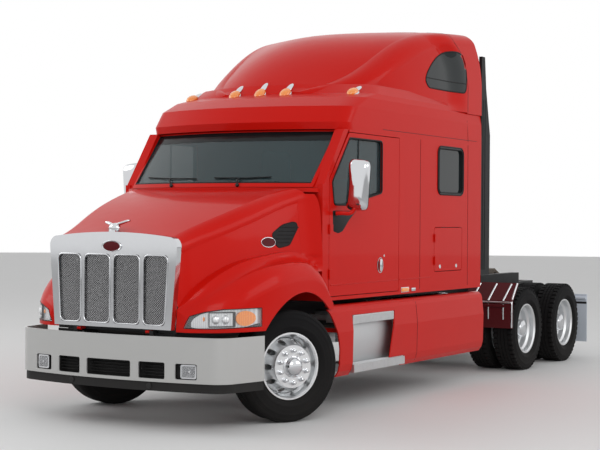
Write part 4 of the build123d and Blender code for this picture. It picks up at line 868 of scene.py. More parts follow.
def lamp_place(side, x, z, inset):
    """A point under the headlamp's lens, inset along its face's direction."""
    y = between(LAMP_PLAN, x, 1)
    slope = (between(LAMP_PLAN, x + 0.006, 1) - between(LAMP_PLAN, x - 0.006, 1)) / 0.012
    out = Vector((slope, -1.0)).normalized()
    return spot(side, x - out.x * inset, y - out.y * inset, z)


def add_lamp_panel(bm, side, x0, x1, span, inset, depth, steps=14):
    """A curved panel under the lens, from x0 to x1 and between the two heights that span gives."""
    rings = []
    for step in range(steps + 1):
        x = x0 + (x1 - x0) * step / steps
        low, high = span(x)
        corners = ((low, inset), (high, inset), (high, inset + depth), (low, inset + depth))
        rings.append([lamp_place(side, x, z, into) for z, into in corners])
    add_loft(bm, rings)


class TRACTOR_OT_headlamps(bpy.types.Operator):
    """Fills the headlamps and the fog lamps under their lenses"""

    bl_idname = "tractor.headlamps"
    bl_label = "Headlamps"

    def execute(self, context):
        for side, word in SIDES:
            self.headlamp(side, word)
            self.fog_lamp(side, word)
        return {"FINISHED"}

    def headlamp(self, side, word):
        """A lamp's bowl, the frame and pair of beams in it, its turn signal and its marker."""
        whole = lambda x: (between(LAMP_SPAN, x, 1) - 0.008, between(LAMP_SPAN, x, 2) + 0.008)
        bm = bmesh.new()
        add_lamp_panel(bm, side, *LAMP_ENDS, whole, 0.024, 0.004, 30)
        piece(f"headlamp_bowl_{word}", bm, "lamp_clear", "hood", "reflector")
        bm = bmesh.new()
        for x in (BEAM_BOX_X[0], BEAM_BOX_X[1] - BEAM_BAR):
            add_lamp_panel(bm, side, x, x + BEAM_BAR, lambda x: BEAM_BOX_Z, 0.006, 0.022, 2)
        for low in (BEAM_BOX_Z[0], BEAM_BOX_Z[1] - BEAM_BAR):
            add_lamp_panel(bm, side, *BEAM_BOX_X, lambda x: (low, low + BEAM_BAR), 0.006, 0.022)
        piece(f"headlamp_frame_{word}", bm, "frame_black", "hood")
        bm = bmesh.new()
        add_lamp_panel(bm, side, 0.924, 1.058, lambda x: (0.906, 1.014), 0.018, 0.003)
        for x in BEAM_X:
            add_ball(bm, lamp_place(side, x, 0.960, 0.020), (0.036, 0.036, 0.0396))
        piece(f"headlamp_beams_{word}", bm, "lamp_clear", "hood", "reflector")
        bm = bmesh.new()
        bulge = lambda x: TURN_HALF_Z * max(0.0, 1.0 - ((x - TURN_X) / TURN_HALF_X) ** 2) ** 0.5 + 0.001
        ends = (TURN_X - TURN_HALF_X + 0.001, TURN_X + TURN_HALF_X - 0.001)
        add_lamp_panel(bm, side, *ends, lambda x: (TURN_Z - bulge(x), TURN_Z + bulge(x)), 0.008, 0.010, 24)
        piece(f"headlamp_turn_{word}", bm, "lamp_amber", "hood")
        bm = bmesh.new()
        add_ball(bm, lamp_place(side, 0.880, 0.965, 0.022), (0.010, 0.010, 0.020))
        piece(f"headlamp_marker_{word}", bm, "lamp_amber", "hood")
        out = (side * 0.62, -0.78, 0.0)
        gasket(f"headlamp_seal_{word}", "headlamps", out, 0.0032, "black_plastic", "hood", side)

    def fog_lamp(self, side, word):
        """A fog lamp's housing, bezel and fluted lens, on the bumper's slant."""
        place = lambda x, z, depth: spot(side, x, -1.2308 + (x - 0.70) * 0.181 + depth, z)
        frame_of = lambda x0, z0, x1, z1, depth: [
            place(x, z, depth) for x, z in rounded([(x0, z0), (x1, z0), (x1, z1), (x0, z1)], 0.020)]
        bm = bmesh.new()
        add_plate(bm, frame_of(0.664, 0.446, 0.890, 0.606, 0.030), 0.004)
        shell = piece(f"fog_housing_{word}", bm, "black_plastic", "chassis")
        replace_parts(shell, "fog_lamps")
        bm = bmesh.new()
        outer, inner = frame_of(0.716, 0.468, 0.860, 0.586, 0.018), frame_of(0.728, 0.480, 0.848, 0.574, 0.018)
        add_band(bm, inner, outer, (0.0, -0.020, 0.0))
        piece(f"fog_bezel_{word}", bm, "bright_metal", "chassis")
        bm = bmesh.new()
        add_plate(bm, frame_of(0.724, 0.476, 0.852, 0.578, 0.012), 0.003)
        for step in range(9):
            x = 0.738 + step * 0.0125
            add_rod(bm, place(x, 0.484, 0.010), place(x, 0.570, 0.010), 0.0055, 8)
        add_ball(bm, place(0.788, 0.527, 0.012), (0.026, 0.014, 0.026))
        piece(f"fog_lens_{word}", bm, "lamp_clear", "chassis", "reflector")


DUCT_Z = (0.436, 0.620)
DUCT_SLATS = 5


class TRACTOR_OT_bumper(bpy.types.Operator):
    """Blacks out the ducts and trims the bumper"""

    bl_idname = "tractor.bumper"
    bl_label = "Bumper"

    def execute(self, context):
        bm = bmesh.new()
        low, top = DUCT_Z
        add_block(bm, (-0.275, back(-1.200), low), (0.275, back(-1.190), top))
        add_pair(bm, (0.280, -1.195, low), (0.655, -1.185, top))
        for row in range(DUCT_SLATS):
            z = 0.478 + 0.027 * row
            add_block(bm, (-0.240, back(-1.232), z), (0.240, back(-1.200), z + 0.006), 0.002)
            add_pair(bm, (0.316, -1.226, z), (0.580, -1.192, z + 0.006), 0.002)
        piece("bumper_ducts", bm, "black_plastic", "chassis")
        bm = bmesh.new()
        add_pair(bm, (0.445, -1.205, 0.700), (0.630, -1.195, 0.833))
        piece("bumper_closers", bm, "black_plastic", "chassis")
        self.skin()
        bm = bmesh.new()
        for side, _ in SIDES:
            eye = from_front("bumper_valance", [(side * 0.42, 0.395)])[0]
            add_rod(bm, eye, eye + Vector((0.0, -0.010, 0.0)), 0.026, 24)
        piece("tow_caps", bm, "frame_black", "chassis")
        return {"FINISHED"}

    def skin(self):
        """A copy of the bumper's solid, with its brackets' ends set flush in its face."""
        mesh = frame["nodes"]["front_bumper"].data.copy()
        mesh.materials.clear()
        for vert in mesh.vertices:
            if vert.co.y < back(-1.282) and 0.42 < abs(vert.co.x) < 0.48 and vert.co.z > 0.74:
                vert.co.y = back(-1.279 if abs(vert.co.x) < 0.45 else -1.275)
        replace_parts(link_piece("bumper_skin", mesh, "bumper_silver", "chassis"), "front_bumper")


SCREEN_DIRECTION = (0.0, -0.74, 0.67)
SCREEN_BAND_Z = 2.560
WIPERS = (
    ((-0.830, 2.205), (-0.480, 2.190), (-0.140, 2.185), (-0.40, 2.118)),
    ((0.070, 2.190), (0.340, 2.186), (0.640, 2.196), (0.36, 2.120)),
)


class TRACTOR_OT_screen(bpy.types.Operator):
    """Seals the windscreen and parks its wipers"""

    bl_idname = "tractor.screen"
    bl_label = "Windscreen"

    def execute(self, context):
        gasket("screen_seal", "windscreen", SCREEN_DIRECTION, 0.013, "black_plastic", "chassis")
        self.band()
        for index, (start, middle, end, pivot) in enumerate(WIPERS):
            self.wiper(index, [start, middle, end], pivot)
        return {"FINISHED"}

    def band(self):
        """The black band along the windscreen's top."""
        bm = merged("windscreen")
        cut = bmesh.ops.bisect_plane(
            bm, geom=bm.verts[:] + bm.edges[:] + bm.faces[:], plane_co=(0.0, 0.0, SCREEN_BAND_Z),
            plane_no=(0.0, 0.0, -1.0), clear_outer=True)["geom_cut"]
        bmesh.ops.holes_fill(bm, edges=[item for item in cut if isinstance(item, bmesh.types.BMEdge)])
        bm.normal_update()
        for vert in bm.verts:
            vert.co += vert.normal * 0.0015
        piece("screen_band", bm, "black_plastic", "chassis", "gloss_black")

    def wiper(self, index, line, pivot):
        """A blade along a line of the glass, with its arm and the arm's pivot."""
        blade = from_front("windscreen", line, 0.011)
        pipe(f"wiper_blade_{index}", blade, 0.0065, "black_plastic", "chassis", curved=True)
        root = from_front("cab_cowl", [pivot], 0.004)[0]
        bend = (root + blade[1]) / 2 + Vector((0.0, -0.022, 0.012))
        pipe(f"wiper_arm_{index}", [root, bend, blade[1]], 0.0075, "frame_black", "chassis", curved=True)
        bm = bmesh.new()
        add_rod(bm, root + Vector((0.0, 0.006, -0.004)), root + Vector((0.0, -0.012, 0.010)), 0.017, 20)
        piece(f"wiper_pivot_{index}", bm, "frame_black", "chassis")


VENT = (
    (-0.165, 1.677), (-0.012, 1.758), (0.130, 1.786), (0.172, 1.776), (0.181, 1.731), (0.062, 1.577),
    (-0.093, 1.551), (-0.138, 1.596),
)
HOOD_OVALS = (("rim", "bright_metal", None, 0.006, 0.005), ("plate", "paint", "maroon_and_painted_reflection", 0.0, 0.007))


class TRACTOR_OT_hood(bpy.types.Operator):
    """Fits the oval plates and the vents on the hood's sides"""

    bl_idname = "tractor.hood"
    bl_label = "Hood"

    def execute(self, context):
        for side, word in SIDES:
            lay = lambda line, rise: from_side("hood_shell", side, line, rise)
            for name, slot, finish, grow, lift in HOOD_OVALS:
                bm = bmesh.new()
                add_patch(bm, lay, oval((-0.222, 1.603), 0.088 + grow, 0.040 + grow), lift, 4)
                piece(f"hood_{name}_{word}", bm, slot, "hood", finish)
            bm = bmesh.new()
            add_patch(bm, lay, rounded(VENT, 0.030, 3), 0.0025, 6)
            piece(f"hood_vent_{word}", bm, "black_plastic", "hood")
            bm = bmesh.new()
            for row in range(5):
                z = 1.600 + 0.034 * row
                front, rear = -0.125 + 0.020 * row, 0.070 + 0.030 * row
                line = from_side("hood_shell", side, [(front, z), ((front + rear) / 2, z), (rear, z)], 0.003)
                for first, second in zip(line, line[1:]):
                    add_rod(bm, first, second, 0.0042, 8)
            piece(f"hood_louvres_{word}", bm, "black_plastic", "hood")
            rim = from_side("hood_shell", side, rounded(VENT, 0.030, 3), 0.001)
            pipe(f"hood_vent_rim_{word}", rim, 0.005, "black_plastic", "hood", closed=True)
        return {"FINISHED"}


FLANK_SEAM = (
    (1.335, 1.152, 0.392), (1.42, 1.150, 0.392), (1.53, 1.146, 0.392), (1.713, 1.134, 0.392), (1.897, 1.121, 0.392),
    (1.96, 1.110, 0.384), (2.008, 1.097, 0.374), (2.045, 1.076, 0.354),
)


class TRACTOR_OT_flanks(bpy.types.Operator):
    """Carries the hood's sides back to the cab"""

    bl_idname = "tractor.flanks"
    bl_label = "Hood Flanks"

    def execute(self, context):
        for side, word in SIDES:
            rings = []
            for step in range(30):
                z = FLANK_SEAM[0][0] + (FLANK_SEAM[-1][0] - FLANK_SEAM[0][0]) * step / 29
                seam_x, seam_y = between(FLANK_SEAM, z, 1), between(FLANK_SEAM, z, 2)
                front, second = from_side("hood_shell", side, [(0.200, z), (0.250, z)])
                slope = (abs(second.x) - abs(front.x)) / 0.050
                reach = seam_y - 0.250
                spare = seam_x - abs(second.x) - slope * reach
                outer = [(abs(front.x), 0.200)]
                for share in (0.0, 0.25, 0.5, 0.75, 1.0):
                    run = reach * share
                    outer.append((abs(second.x) + slope * run + spare * share ** 2, 0.250 + run))
                line = [(x + 0.0012, y) for x, y in outer] + [(x - 0.006, y) for x, y in reversed(outer)]
                rings.append([spot(side, x, y, z) for x, y in line])
            bm = bmesh.new()
            add_loft(bm, rings)
            piece(f"hood_flank_{word}", bm, "paint", "hood", smooth=SOFT)
        return {"FINISHED"}


ROOF_CENTRE_Z = 2.930
ARCH_REACH = 0.420
ARCH_RINGS = 120
ARCH_PARTS = 12
BAND_SEARCH = (2.6, 3.72)
BAND_STEP = 0.010
ROOF_SIDE = ((2.4, 1.044), (2.6, 1.057), (2.8, 1.067), (3.0, 1.075), (3.2, 1.080), (3.6, 1.085))
ROOF_PANE = (
    (2.790, 3.232), (3.570, 3.232), (3.606, 3.275), (3.606, 3.440), (3.572, 3.560), (3.500, 3.640), (3.400, 3.664),
    (3.270, 3.664), (3.120, 3.640), (2.960, 3.570), (2.840, 3.480), (2.745, 3.375), (2.718, 3.300),
)


def roof_place(turn, radius, y):
    """A place round the roof's middle line, in a direction of front view."""
    return Vector((math.cos(turn) * radius, back(y), ROOF_CENTRE_Z + math.sin(turn) * radius))


def roof_radius(turn, y):
    """How far the roof reaches from its middle line in a direction of front view."""
    start = roof_place(turn, FAR_SIDE_X, y)
    inward = (-math.cos(turn), 0.0, -math.sin(turn))
    found = [touch(node, start, inward) for node in ("roof_cap", "roof_windows")]
    return max((FAR_SIDE_X - (point - start).length for point in found if point is not None), default=0.0)


def band_edge(turn):
    """How far back the rear band's step up is in a direction of front view, or None."""
    edge, high = BAND_SEARCH[1], roof_radius(turn, BAND_SEARCH[1])
    while edge > BAND_SEARCH[0]:
        low = roof_radius(turn, edge - BAND_STEP)
        if high - low > 0.006:
            return edge
        edge, high = edge - BAND_STEP, low
    return None


def eased(low, slope_in, high, slope_out, t):
    """A smooth run from low to high as t goes from 0 to 1, with a slope at each end."""
    return (
        low * (2 * t ** 3 - 3 * t ** 2 + 1) + slope_in * (t ** 3 - 2 * t ** 2 + t)
        + high * (3 * t ** 2 - 2 * t ** 3) + slope_out * (t ** 3 - t ** 2))


ROOF_BLOCKS = (
    ("roof_back", "paint", "chassis", [((-1.122, 4.006, 2.985), (1.122, 4.026, 3.395), 0.004)]),
    ("roof_back_ribs", "paint", "chassis", [
        ((-0.90, 4.024, z), (0.90, 4.036, z + 0.022), 0.005) for z in (3.10, 3.175, 3.25)]),
)


class TRACTOR_OT_roof(bpy.types.Operator):
    """Blends the roof into its rear band and fits the roof windows"""

    bl_idname = "tractor.roof"
    bl_label = "Roof"

    def execute(self, context):
        self.arch()
        for side, word in SIDES:
            self.pane(side, word)
        block_pieces(ROOF_BLOCKS)
        return {"FINISHED"}

    def arch(self):
        """A skin from the roof's sides and top up to the rear band's edge, with the seam behind it."""
        rings, seam = [], []
        for step in range(ARCH_RINGS + 1):
            turn = math.pi * step / ARCH_RINGS
            edge = band_edge(turn)
            if edge is None:
                continue
            start = edge - ARCH_REACH
            low, high = roof_radius(turn, start), roof_radius(turn, edge + 0.025)
            slope_in = (low - roof_radius(turn, start - 0.06)) / 0.06 * ARCH_REACH
            slope_out = (roof_radius(turn, edge + 0.065) - high) / 0.04 * ARCH_REACH
            line = []
            for part in range(ARCH_PARTS + 1):
                t = part / ARCH_PARTS
                radius = eased(low, slope_in, high, slope_out, t)
                line.append((radius + 0.001 * t, start + (ARCH_REACH + 0.012) * t))
            line += [(radius - 0.012, y) for radius, y in reversed(line)]
            rings.append([roof_place(turn, radius, y) for radius, y in line])
            seam.append(roof_place(turn, high + 0.0006, edge + 0.016))
        bm = bmesh.new()
        add_loft(bm, rings)
        TREES["roof_arch"] = BVHTree.FromBMesh(bm)
        piece("roof_arch", bm, "paint", "chassis", smooth=BLENDED)
        pipe("roof_seam", seam, 0.0024, "black_plastic", "chassis")

    def pane(self, side, word):
        """A dark pane laid on the roof's side, with its seal and its dividing bar."""
        def lay(line, rise):
            found = []
            for y, z in line:
                point = touch("roof_arch", spot(side, FAR_SIDE_X, y, z), (-side, 0.0, 0.0))
                reach = max(between(ROOF_SIDE, y, 1), abs(point.x) if point is not None else 0.0)
                found.append(Vector(spot(side, reach + rise, y, z)))
            return found

        outline = dense(rounded(ROOF_PANE, 0.060, 4), 0.045)
        bm = bmesh.new()
        add_patch(bm, lay, outline, 0.003, 12)
        pane = piece(f"roof_pane_{word}", bm, "glass", "chassis", "dark_glass")
        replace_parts(pane, "roof_windows")
        pipe(f"roof_seal_{word}", lay(outline, 0.001), 0.0075, "black_plastic", "chassis", closed=True)
        bar = lay([(2.73 + 0.0725 * step, 3.335) for step in range(13)], 0.003)
        pipe(f"roof_divider_{word}", bar, 0.005, "black_plastic", "chassis")


DOOR_DIVIDERS = (
    ("door_divider_{}", "black_plastic", "door_{}", [((1.108, 1.121, 1.955), (1.120, 1.139, 2.588), 0.002)]),
)


class TRACTOR_OT_side_glass(bpy.types.Operator):
    """Seals the side windows and adds their dividers"""

    bl_idname = "tractor.side_glass"
    bl_label = "Side Windows"

    def execute(self, context):
        for side, word in SIDES:
            out, body = (side, 0, 0), f"door_{word}"
            gasket(f"door_seal_{word}", body, out, 0.0085, "black_plastic", body, side, 2.1, 0.75)
            gasket(f"door_glass_edge_{word}", f"door_glass_{word}", out, 0.012, "black_plastic", body, side)
            gasket(f"sleeper_seal_{word}", "sleeper_windows", out, 0.0075, "black_plastic", "chassis", side)
        block_pieces(DOOR_DIVIDERS)
        return {"FINISHED"}


CAB_SEAMS = (
    ("cab_seam_mid", "cab_sides", ((2.455, 1.090), (2.455, 1.80), (2.455, 2.655))),
    ("cab_seam_rear", "cab_sides", ((3.675, 1.090), (3.672, 1.80), (3.668, 2.655))),
    ("roof_seam_low", "roof_cap", ((3.668, 2.690), (3.660, 2.80), (3.650, 2.93))),
    ("roof_seam_side", "roof_cap", tuple((1.60 + 0.10 * step, 2.710) for step in range(24))),
    ("fairing_seam", "side_fairings", tuple((2.280, 0.995 - 0.03 * step) for step in range(22))),
)
DOOR_SILL = ((0.560, 1.198), (1.2, 1.202), (1.950, 1.206))
CAB_SILL = ((1.985, 1.206), (2.7, 1.210))
SIDE_MARKERS = (
    ("side_marker_{}", "lamp_amber", "chassis", [((1.140, 2.030, 1.078), (1.152, 2.190, 1.118), 0.005)]),
    ("side_marker_base_{}", "bright_metal", "chassis", [
        ((1.139, 2.022, 1.072), (1.144, 2.198, 1.124), 0.0015),
        ((1.140, 2.255, 1.078), (1.150, 2.345, 1.112), 0.004)]),
)
HANDLE_MIDDLE = (1.556, 1.362)
LATCH = ((0.0, 0.0), (0.0, 0.022), (0.003, 0.021), (0.0045, 0.017), (0.003, 0.013), (0.003, 0.0))


def oval(middle, half_y, half_z, count=40):
    """An upright oval in side view."""
    turns = [math.tau * step / count for step in range(count)]
    return [(middle[0] + half_y * math.cos(turn), middle[1] + half_z * math.sin(turn)) for turn in turns]


class TRACTOR_OT_cab(bpy.types.Operator):
    """Adds the cab's handles, seams, side markers and sill line"""

    bl_idname = "tractor.cab"
    bl_label = "Cab Trim"

    def execute(self, context):
        for side, word in SIDES:
            self.handle(side, word)
            self.seams(side, word)
            self.latches(side, word)
        block_pieces(SIDE_MARKERS)
        return {"FINISHED"}

    def handle(self, side, word):
        """A door's handle in its oval recess, and its lock."""
        lay = lambda line: [spot(side, CAB_SIDE_X - 0.0015, y, z) for y, z in line]
        bm = bmesh.new()
        inner, outer = (oval(HANDLE_MIDDLE, 0.054 + grow, 0.070 + grow) for grow in (0.0, 0.008))
        add_band(bm, lay(inner), lay(outer), (side * 0.006, 0.0, 0.0))
        add_block(bm, spot(side, 1.118, 1.562, 1.300), spot(side, 1.146, 1.602, 1.424), 0.010)
        piece(f"door_handle_{word}", bm, "bright_metal", f"door_{word}")
        bm = bmesh.new()
        add_rod(bm, spot(side, 1.1395, 1.640, 1.455), spot(side, 1.1425, 1.640, 1.455), 0.013, 24)
        piece(f"door_lock_{word}", bm, "bright_metal", f"door_{word}")

    def seams(self, side, word):
        """The dark seams of the cab's and fairing's panels, and the bead along the sill."""
        for name, node, line in CAB_SEAMS:
            pipe(f"{name}_{word}", from_side(node, side, line, 0.0002), 0.0022, "black_plastic", "chassis")
        door = f"door_{word}"
        pipe(f"door_sill_{word}", from_side(door, side, DOOR_SILL), 0.0055, "paint", door)
        pipe(f"cab_sill_{word}", from_side("cab_sides", side, CAB_SILL), 0.0055, "paint", "chassis")

    def latches(self, side, word):
        """The two round latches of a luggage hatch."""
        bm = bmesh.new()
        for y in (2.95, 3.37):
            add_spun(bm, LATCH, 28, turned_to((side, 0.0, 0.0), spot(side, CAB_SIDE_X - 0.0005, y, 1.315)))
        piece(f"hatch_latch_{word}", bm, "bright_metal", f"hatch_{word}")


MIRROR_RINGS = (0.20, 0.40, 0.58, 0.73, 0.84, 0.92, 0.97, 0.993, 1.0)
MIRROR_EDGE = ((1.196, 1.905), (1.404, 1.890), (1.438, 2.360), (1.232, 2.388))
MIRROR_FOOT = ((0.590, 1.897), (1.060, 1.897), (0.905, 1.800), (0.790, 1.700), (0.700, 1.678), (0.600, 1.700))
MIRROR_ARM = ((1.148, 0.640, 1.868), (1.200, 0.660, 1.872), (1.270, 0.715, 1.876), (1.300, 0.742, 1.925))


class TRACTOR_OT_mirrors(bpy.types.Operator):
    """Shapes both door mirrors with their brackets"""

    bl_idname = "tractor.mirrors"
    bl_label = "Mirrors"

    def execute(self, context):
        for side, word in SIDES:
            body = f"door_{word}"
            outline = rounded(MIRROR_EDGE, 0.065, 8)
            middle = Vector((1.318, 2.138))
            lay = lambda grow, y: [spot(side, p.x, y, p.y) for p in (middle + (q - middle) * grow for q in outline)]
            bm = bmesh.new()
            crown = [lay(grow, 0.752 - 0.050 * (1.0 - grow ** 6) ** 0.5) for grow in MIRROR_RINGS]
            add_loft(bm, crown + [lay(1.0, 0.784)])
            shell = piece(f"mirror_shell_{word}", bm, "bright_metal", body, smooth=SOFT)
            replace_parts(shell, f"mirror_{word}")
            bm = bmesh.new()
            add_band(bm, lay(0.93, 0.783), lay(1.0, 0.783), (0.0, 0.012, 0.0))
            piece(f"mirror_rim_{word}", bm, "black_plastic", body)
            bm = bmesh.new()
            add_plate(bm, lay(0.93, 0.783), 0.003)
            piece(f"mirror_glass_{word}", bm, "bright_metal", body, "mirror")
            bm = bmesh.new()
            corners = [spot(side, CAB_SIDE_X + 0.0005, y, z) for y, z in rounded(MIRROR_FOOT, 0.02, 3)]
            add_plate(bm, corners, 0.012, 0.003)
            piece(f"mirror_foot_{word}", bm, "black_plastic", body)
            arm = [spot(side, *place) for place in MIRROR_ARM]
            pipe(f"mirror_arm_{word}", arm, 0.020, "paint", body, curved=True)
        return {"FINISHED"}


ROOF_LAMPS = ((-0.96, 1.34), (-0.30, 1.15), (0.0, 1.155), (0.30, 1.15), (0.96, 1.34))


class TRACTOR_OT_roof_lamps(bpy.types.Operator):
    """Sets the five roof lamps with their bright tails"""

    bl_idname = "tractor.roof_lamps"
    bl_label = "Roof Lamps"

    def execute(self, context):
        lens, tails = bmesh.new(), bmesh.new()
        for x, y in ROOF_LAMPS:
            foot, rear = laid("roof_cap", [(x, back(y + shift), 5.0) for shift in (-0.060, 0.100)], DOWN, 0.0)
            run = (rear - foot).normalized()
            turn = Vector((0.0, 1.0, 0.0)).rotation_difference(run).to_matrix().to_4x4()
            add_ball(lens, foot + Vector((0.0, 0.010, 0.012)), (0.056, 0.080, 0.040), turn)
            add_ball(tails, foot + run * 0.110, (0.034, 0.095, 0.022), turn)
            add_ball(tails, foot + Vector((0.0, 0.016, -0.004)), (0.062, 0.088, 0.026), turn)
        lamps = piece("roof_lamp_lenses", lens, "lamp_amber", "chassis")
        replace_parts(lamps, "marker_lamps")
        piece("roof_lamp_tails", tails, "bright_metal", "chassis")
        return {"FINISHED"}


KINGPIN_X = 0.870
STEER_TYRE_X = 1.040
DUAL_OUTER_X = 1.080
DUAL_SPACING = 0.343
DRIVE_AXLES = (("mid", 5.340), ("rear", 6.660))
TYRE_SIDE = (
    (0.107, 0.494), (0.121, 0.480), (0.1245, 0.466), (0.123, 0.464), (0.127, 0.452), (0.1335, 0.435),
    (0.1355, 0.434), (0.1365, 0.428), (0.1352, 0.424), (0.1395, 0.402), (0.1405, 0.385), (0.1385, 0.360),
    (0.1395, 0.358), (0.1390, 0.353), (0.1345, 0.343), (0.126, 0.326), (0.114, 0.311), (0.104, 0.3015),
    (0.1007, 0.300), (0.1007, 0.2865),
)

SHOULDER_LUGS = 48
CENTRE_LUGS = 64
STEER_CAP = (
    (0.149, 0.0), (0.149, 0.098), (0.156, 0.098), (0.160, 0.092), (0.163, 0.080), (0.184, 0.077), (0.190, 0.073),
    (0.205, 0.060), (0.213, 0.042), (0.217, 0.020), (0.218, 0.0),
)
DRIVE_CAP = (
    (-0.150, 0.0), (-0.150, 0.122), (-0.125, 0.120), (-0.105, 0.106), (0.060, 0.104), (0.074, 0.096),
    (0.084, 0.074), (0.088, 0.040), (0.089, 0.0),
)
NUTS = 10
NUT_CIRCLE = 0.142875


def tyre_mesh(lugged):
    """A radial tyre on the X axis: ribs for steering, shoulder blocks for driving."""
    crown_r = 0.4995 if lugged else 0.502
    half = []
    for x in (0.0225, 0.0663):
        half += [(x - 0.0055, crown_r), (x - 0.0040, 0.489), (x + 0.0040, 0.489), (x + 0.0055, crown_r)]
    if lugged:
        half = half[:5] + [(0.0608, crown_r), (0.0620, 0.484), (0.107, 0.482)]
        half += [(0.1195, 0.476)] + list(TYRE_SIDE[2:])
    else:
        half += [(0.098, 0.5000)] + list(TYRE_SIDE)
    profile = [(-x, radius) for x, radius in reversed(half)] + half
    profile.append(profile[0])
    bm = bmesh.new()
    add_spun(bm, profile, 80)
    if lugged:
        for index in range(SHOULDER_LUGS):
            for side in (-1, 1):
                turn = Matrix.Rotation(math.tau * (index + (0.25 if side > 0 else 0.0)) / SHOULDER_LUGS, 4, "X")
                moved(bm, add_block(bm, (side * 0.066, -0.0225, 0.478), (side * 0.119, 0.0225, 0.502), 0.003), turn)
        for index in range(CENTRE_LUGS):
            turn = Matrix.Rotation(math.tau * index / CENTRE_LUGS, 4, "X")
            for x in (-0.042, 0.0, 0.042):
                moved(bm, add_block(bm, (x - 0.0165, -0.0205, 0.490), (x + 0.0165, 0.0205, 0.502)), turn)
    bmesh.ops.recalc_face_normals(bm, faces=bm.faces)
    mesh = bpy.data.meshes.new("tyre_lugged" if lugged else "tyre_ribbed")
    bm.to_mesh(mesh)
    bm.free()
    return mesh


def outboard(side):
    """Turns the X axis to point out of the vehicle's side."""
    return Matrix.Identity(4) if side > 0 else Matrix.Rotation(math.pi, 4, "Z")


def steer_place(side):
    """Where a front wheel stands, turned about its kingpin as parked."""
    pin = Matrix.Translation((side * KINGPIN_X, FRONT_AXLE_Y, AXLE_Z)) @ Matrix.Rotation(STEER_ANGLE, 4, "Z")
    return pin @ Matrix.Translation((side * (STEER_TYRE_X - KINGPIN_X), 0.0, 0.0)) @ outboard(side)


def add_nut_covers(bm, face_x, place, tall):
    """Bright covers on the wheel nuts."""
    profile = (
        (0.0, 0.0), (0.0, 0.0235), (0.006, 0.0235), (0.008, 0.0195), (tall * 0.6, 0.0185), (tall * 0.9, 0.0145),
        (tall, 0.008), (tall, 0.0))
    for index in range(NUTS):
        turn = Matrix.Rotation(math.tau * index / NUTS, 4, "X") @ Matrix.Translation((face_x, 0.0, NUT_CIRCLE))
        add_spun(bm, profile, 18, place @ turn)


class TRACTOR_OT_wheels(bpy.types.Operator):
    """Fits ten tyres, and the bright caps and nut covers"""

    bl_idname = "tractor.wheels"
    bl_label = "Wheels"

    def execute(self, context):
        ribbed, lugged = tyre_mesh(False), tyre_mesh(True)
        for side, word in SIDES:
            place, body = steer_place(side), f"steer_wheel_{word}"
            self.tyre(f"steer_tyre_{word}", ribbed, [place], body, f"tyre_front_{word}")
            self.cap(f"steer_cap_{word}", STEER_CAP, 56, 0.150, 0.046, place, body)
            for axle, y in DRIVE_AXLES:
                body = f"drive_wheels_{axle}_{word}"
                outer, inner = (
                    Matrix.Translation(spot(side, x, y, AXLE_Z)) @ outboard(side)
                    for x in (DUAL_OUTER_X, DUAL_OUTER_X - DUAL_SPACING))
                self.tyre(f"drive_tyres_{axle}_{word}", lugged, [outer, inner], body, f"tyres_{axle}_{word}")
                self.cap(f"drive_cap_{axle}_{word}", DRIVE_CAP, 48, -0.1495, 0.050, outer, body)
        for mesh in (ribbed, lugged):
            bpy.data.meshes.remove(mesh)
        return {"FINISHED"}

    def cap(self, name, profile, steps, face_x, tall, place, body):
        """A hub cap with the nut covers round it."""
        bm = bmesh.new()
        add_spun(bm, profile, steps, place)
        add_nut_covers(bm, face_x, place, tall)
        piece(name, bm, "bright_metal", body)

    def tyre(self, name, mesh, places, body, node):
        """Copies of a tyre at their places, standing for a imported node."""
        bm = bmesh.new()
        for place in places:
            known = len(bm.verts)
            bm.from_mesh(mesh)
            bm.verts.ensure_lookup_table()
            moved(bm, bm.verts[known:], place)
        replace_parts(piece(name, bm, "tyre", body), node)


STUD_X = (1.125, 1.160, 1.190)
STUD_ROWS = 38
STUD_PITCH = 0.028
STEP_RISER = (
    (1.086, 0.437), (1.101, 0.437), (1.110, 0.48), (1.119, 0.56), (1.122, 0.64), (1.119, 0.72), (1.111, 0.79),
    (1.102, 0.842), (1.086, 0.842),
)


class TRACTOR_OT_steps(bpy.types.Operator):
    """Studs the step treads and closes the riser behind them"""

    bl_idname = "tractor.steps"
    bl_label = "Steps"

    def execute(self, context):
        for side, word in SIDES:
            tops = []
            for x in STUD_X:
                for step in range(STUD_ROWS):
                    y = 0.930 + STUD_PITCH * step
                    for start_z in (1.05, 0.70):
                        top = touch("step_treads", spot(side, x, y, start_z), DOWN)
                        if top is not None and start_z - top.z < 0.42:
                            tops.append(top)
            bm = bmesh.new()
            for top in tops:
                add_rod(bm, top - Vector((0, 0, 0.002)), top + Vector((0, 0, 0.005)), 0.0095, 10, 0.0065)
            piece(f"step_studs_{word}", bm, "step_alloy", "chassis")
            bm = bmesh.new()
            add_plate(bm, [spot(side, x, 0.902, z) for x, z in STEP_RISER], Vector((0.0, 0.980, 0.0)))
            piece(f"step_riser_{word}", bm, "step_alloy", "chassis", "riser")
        return {"FINISHED"}


QUARTER_RODS = (
    ((0.72, 0.86), (0.76, 1.05)), ((0.93, 0.86), (0.97, 1.05)), ((1.12, 0.86), (1.16, 1.05)),
    ((0.66, 0.842), (1.22, 0.842)), ((0.93, 0.64), (0.93, 0.82)), ((1.12, 0.64), (1.12, 0.82)),
)
QUARTER_EDGE = (0.545, 0.70, 0.82, 0.90, 1.0, 1.062)


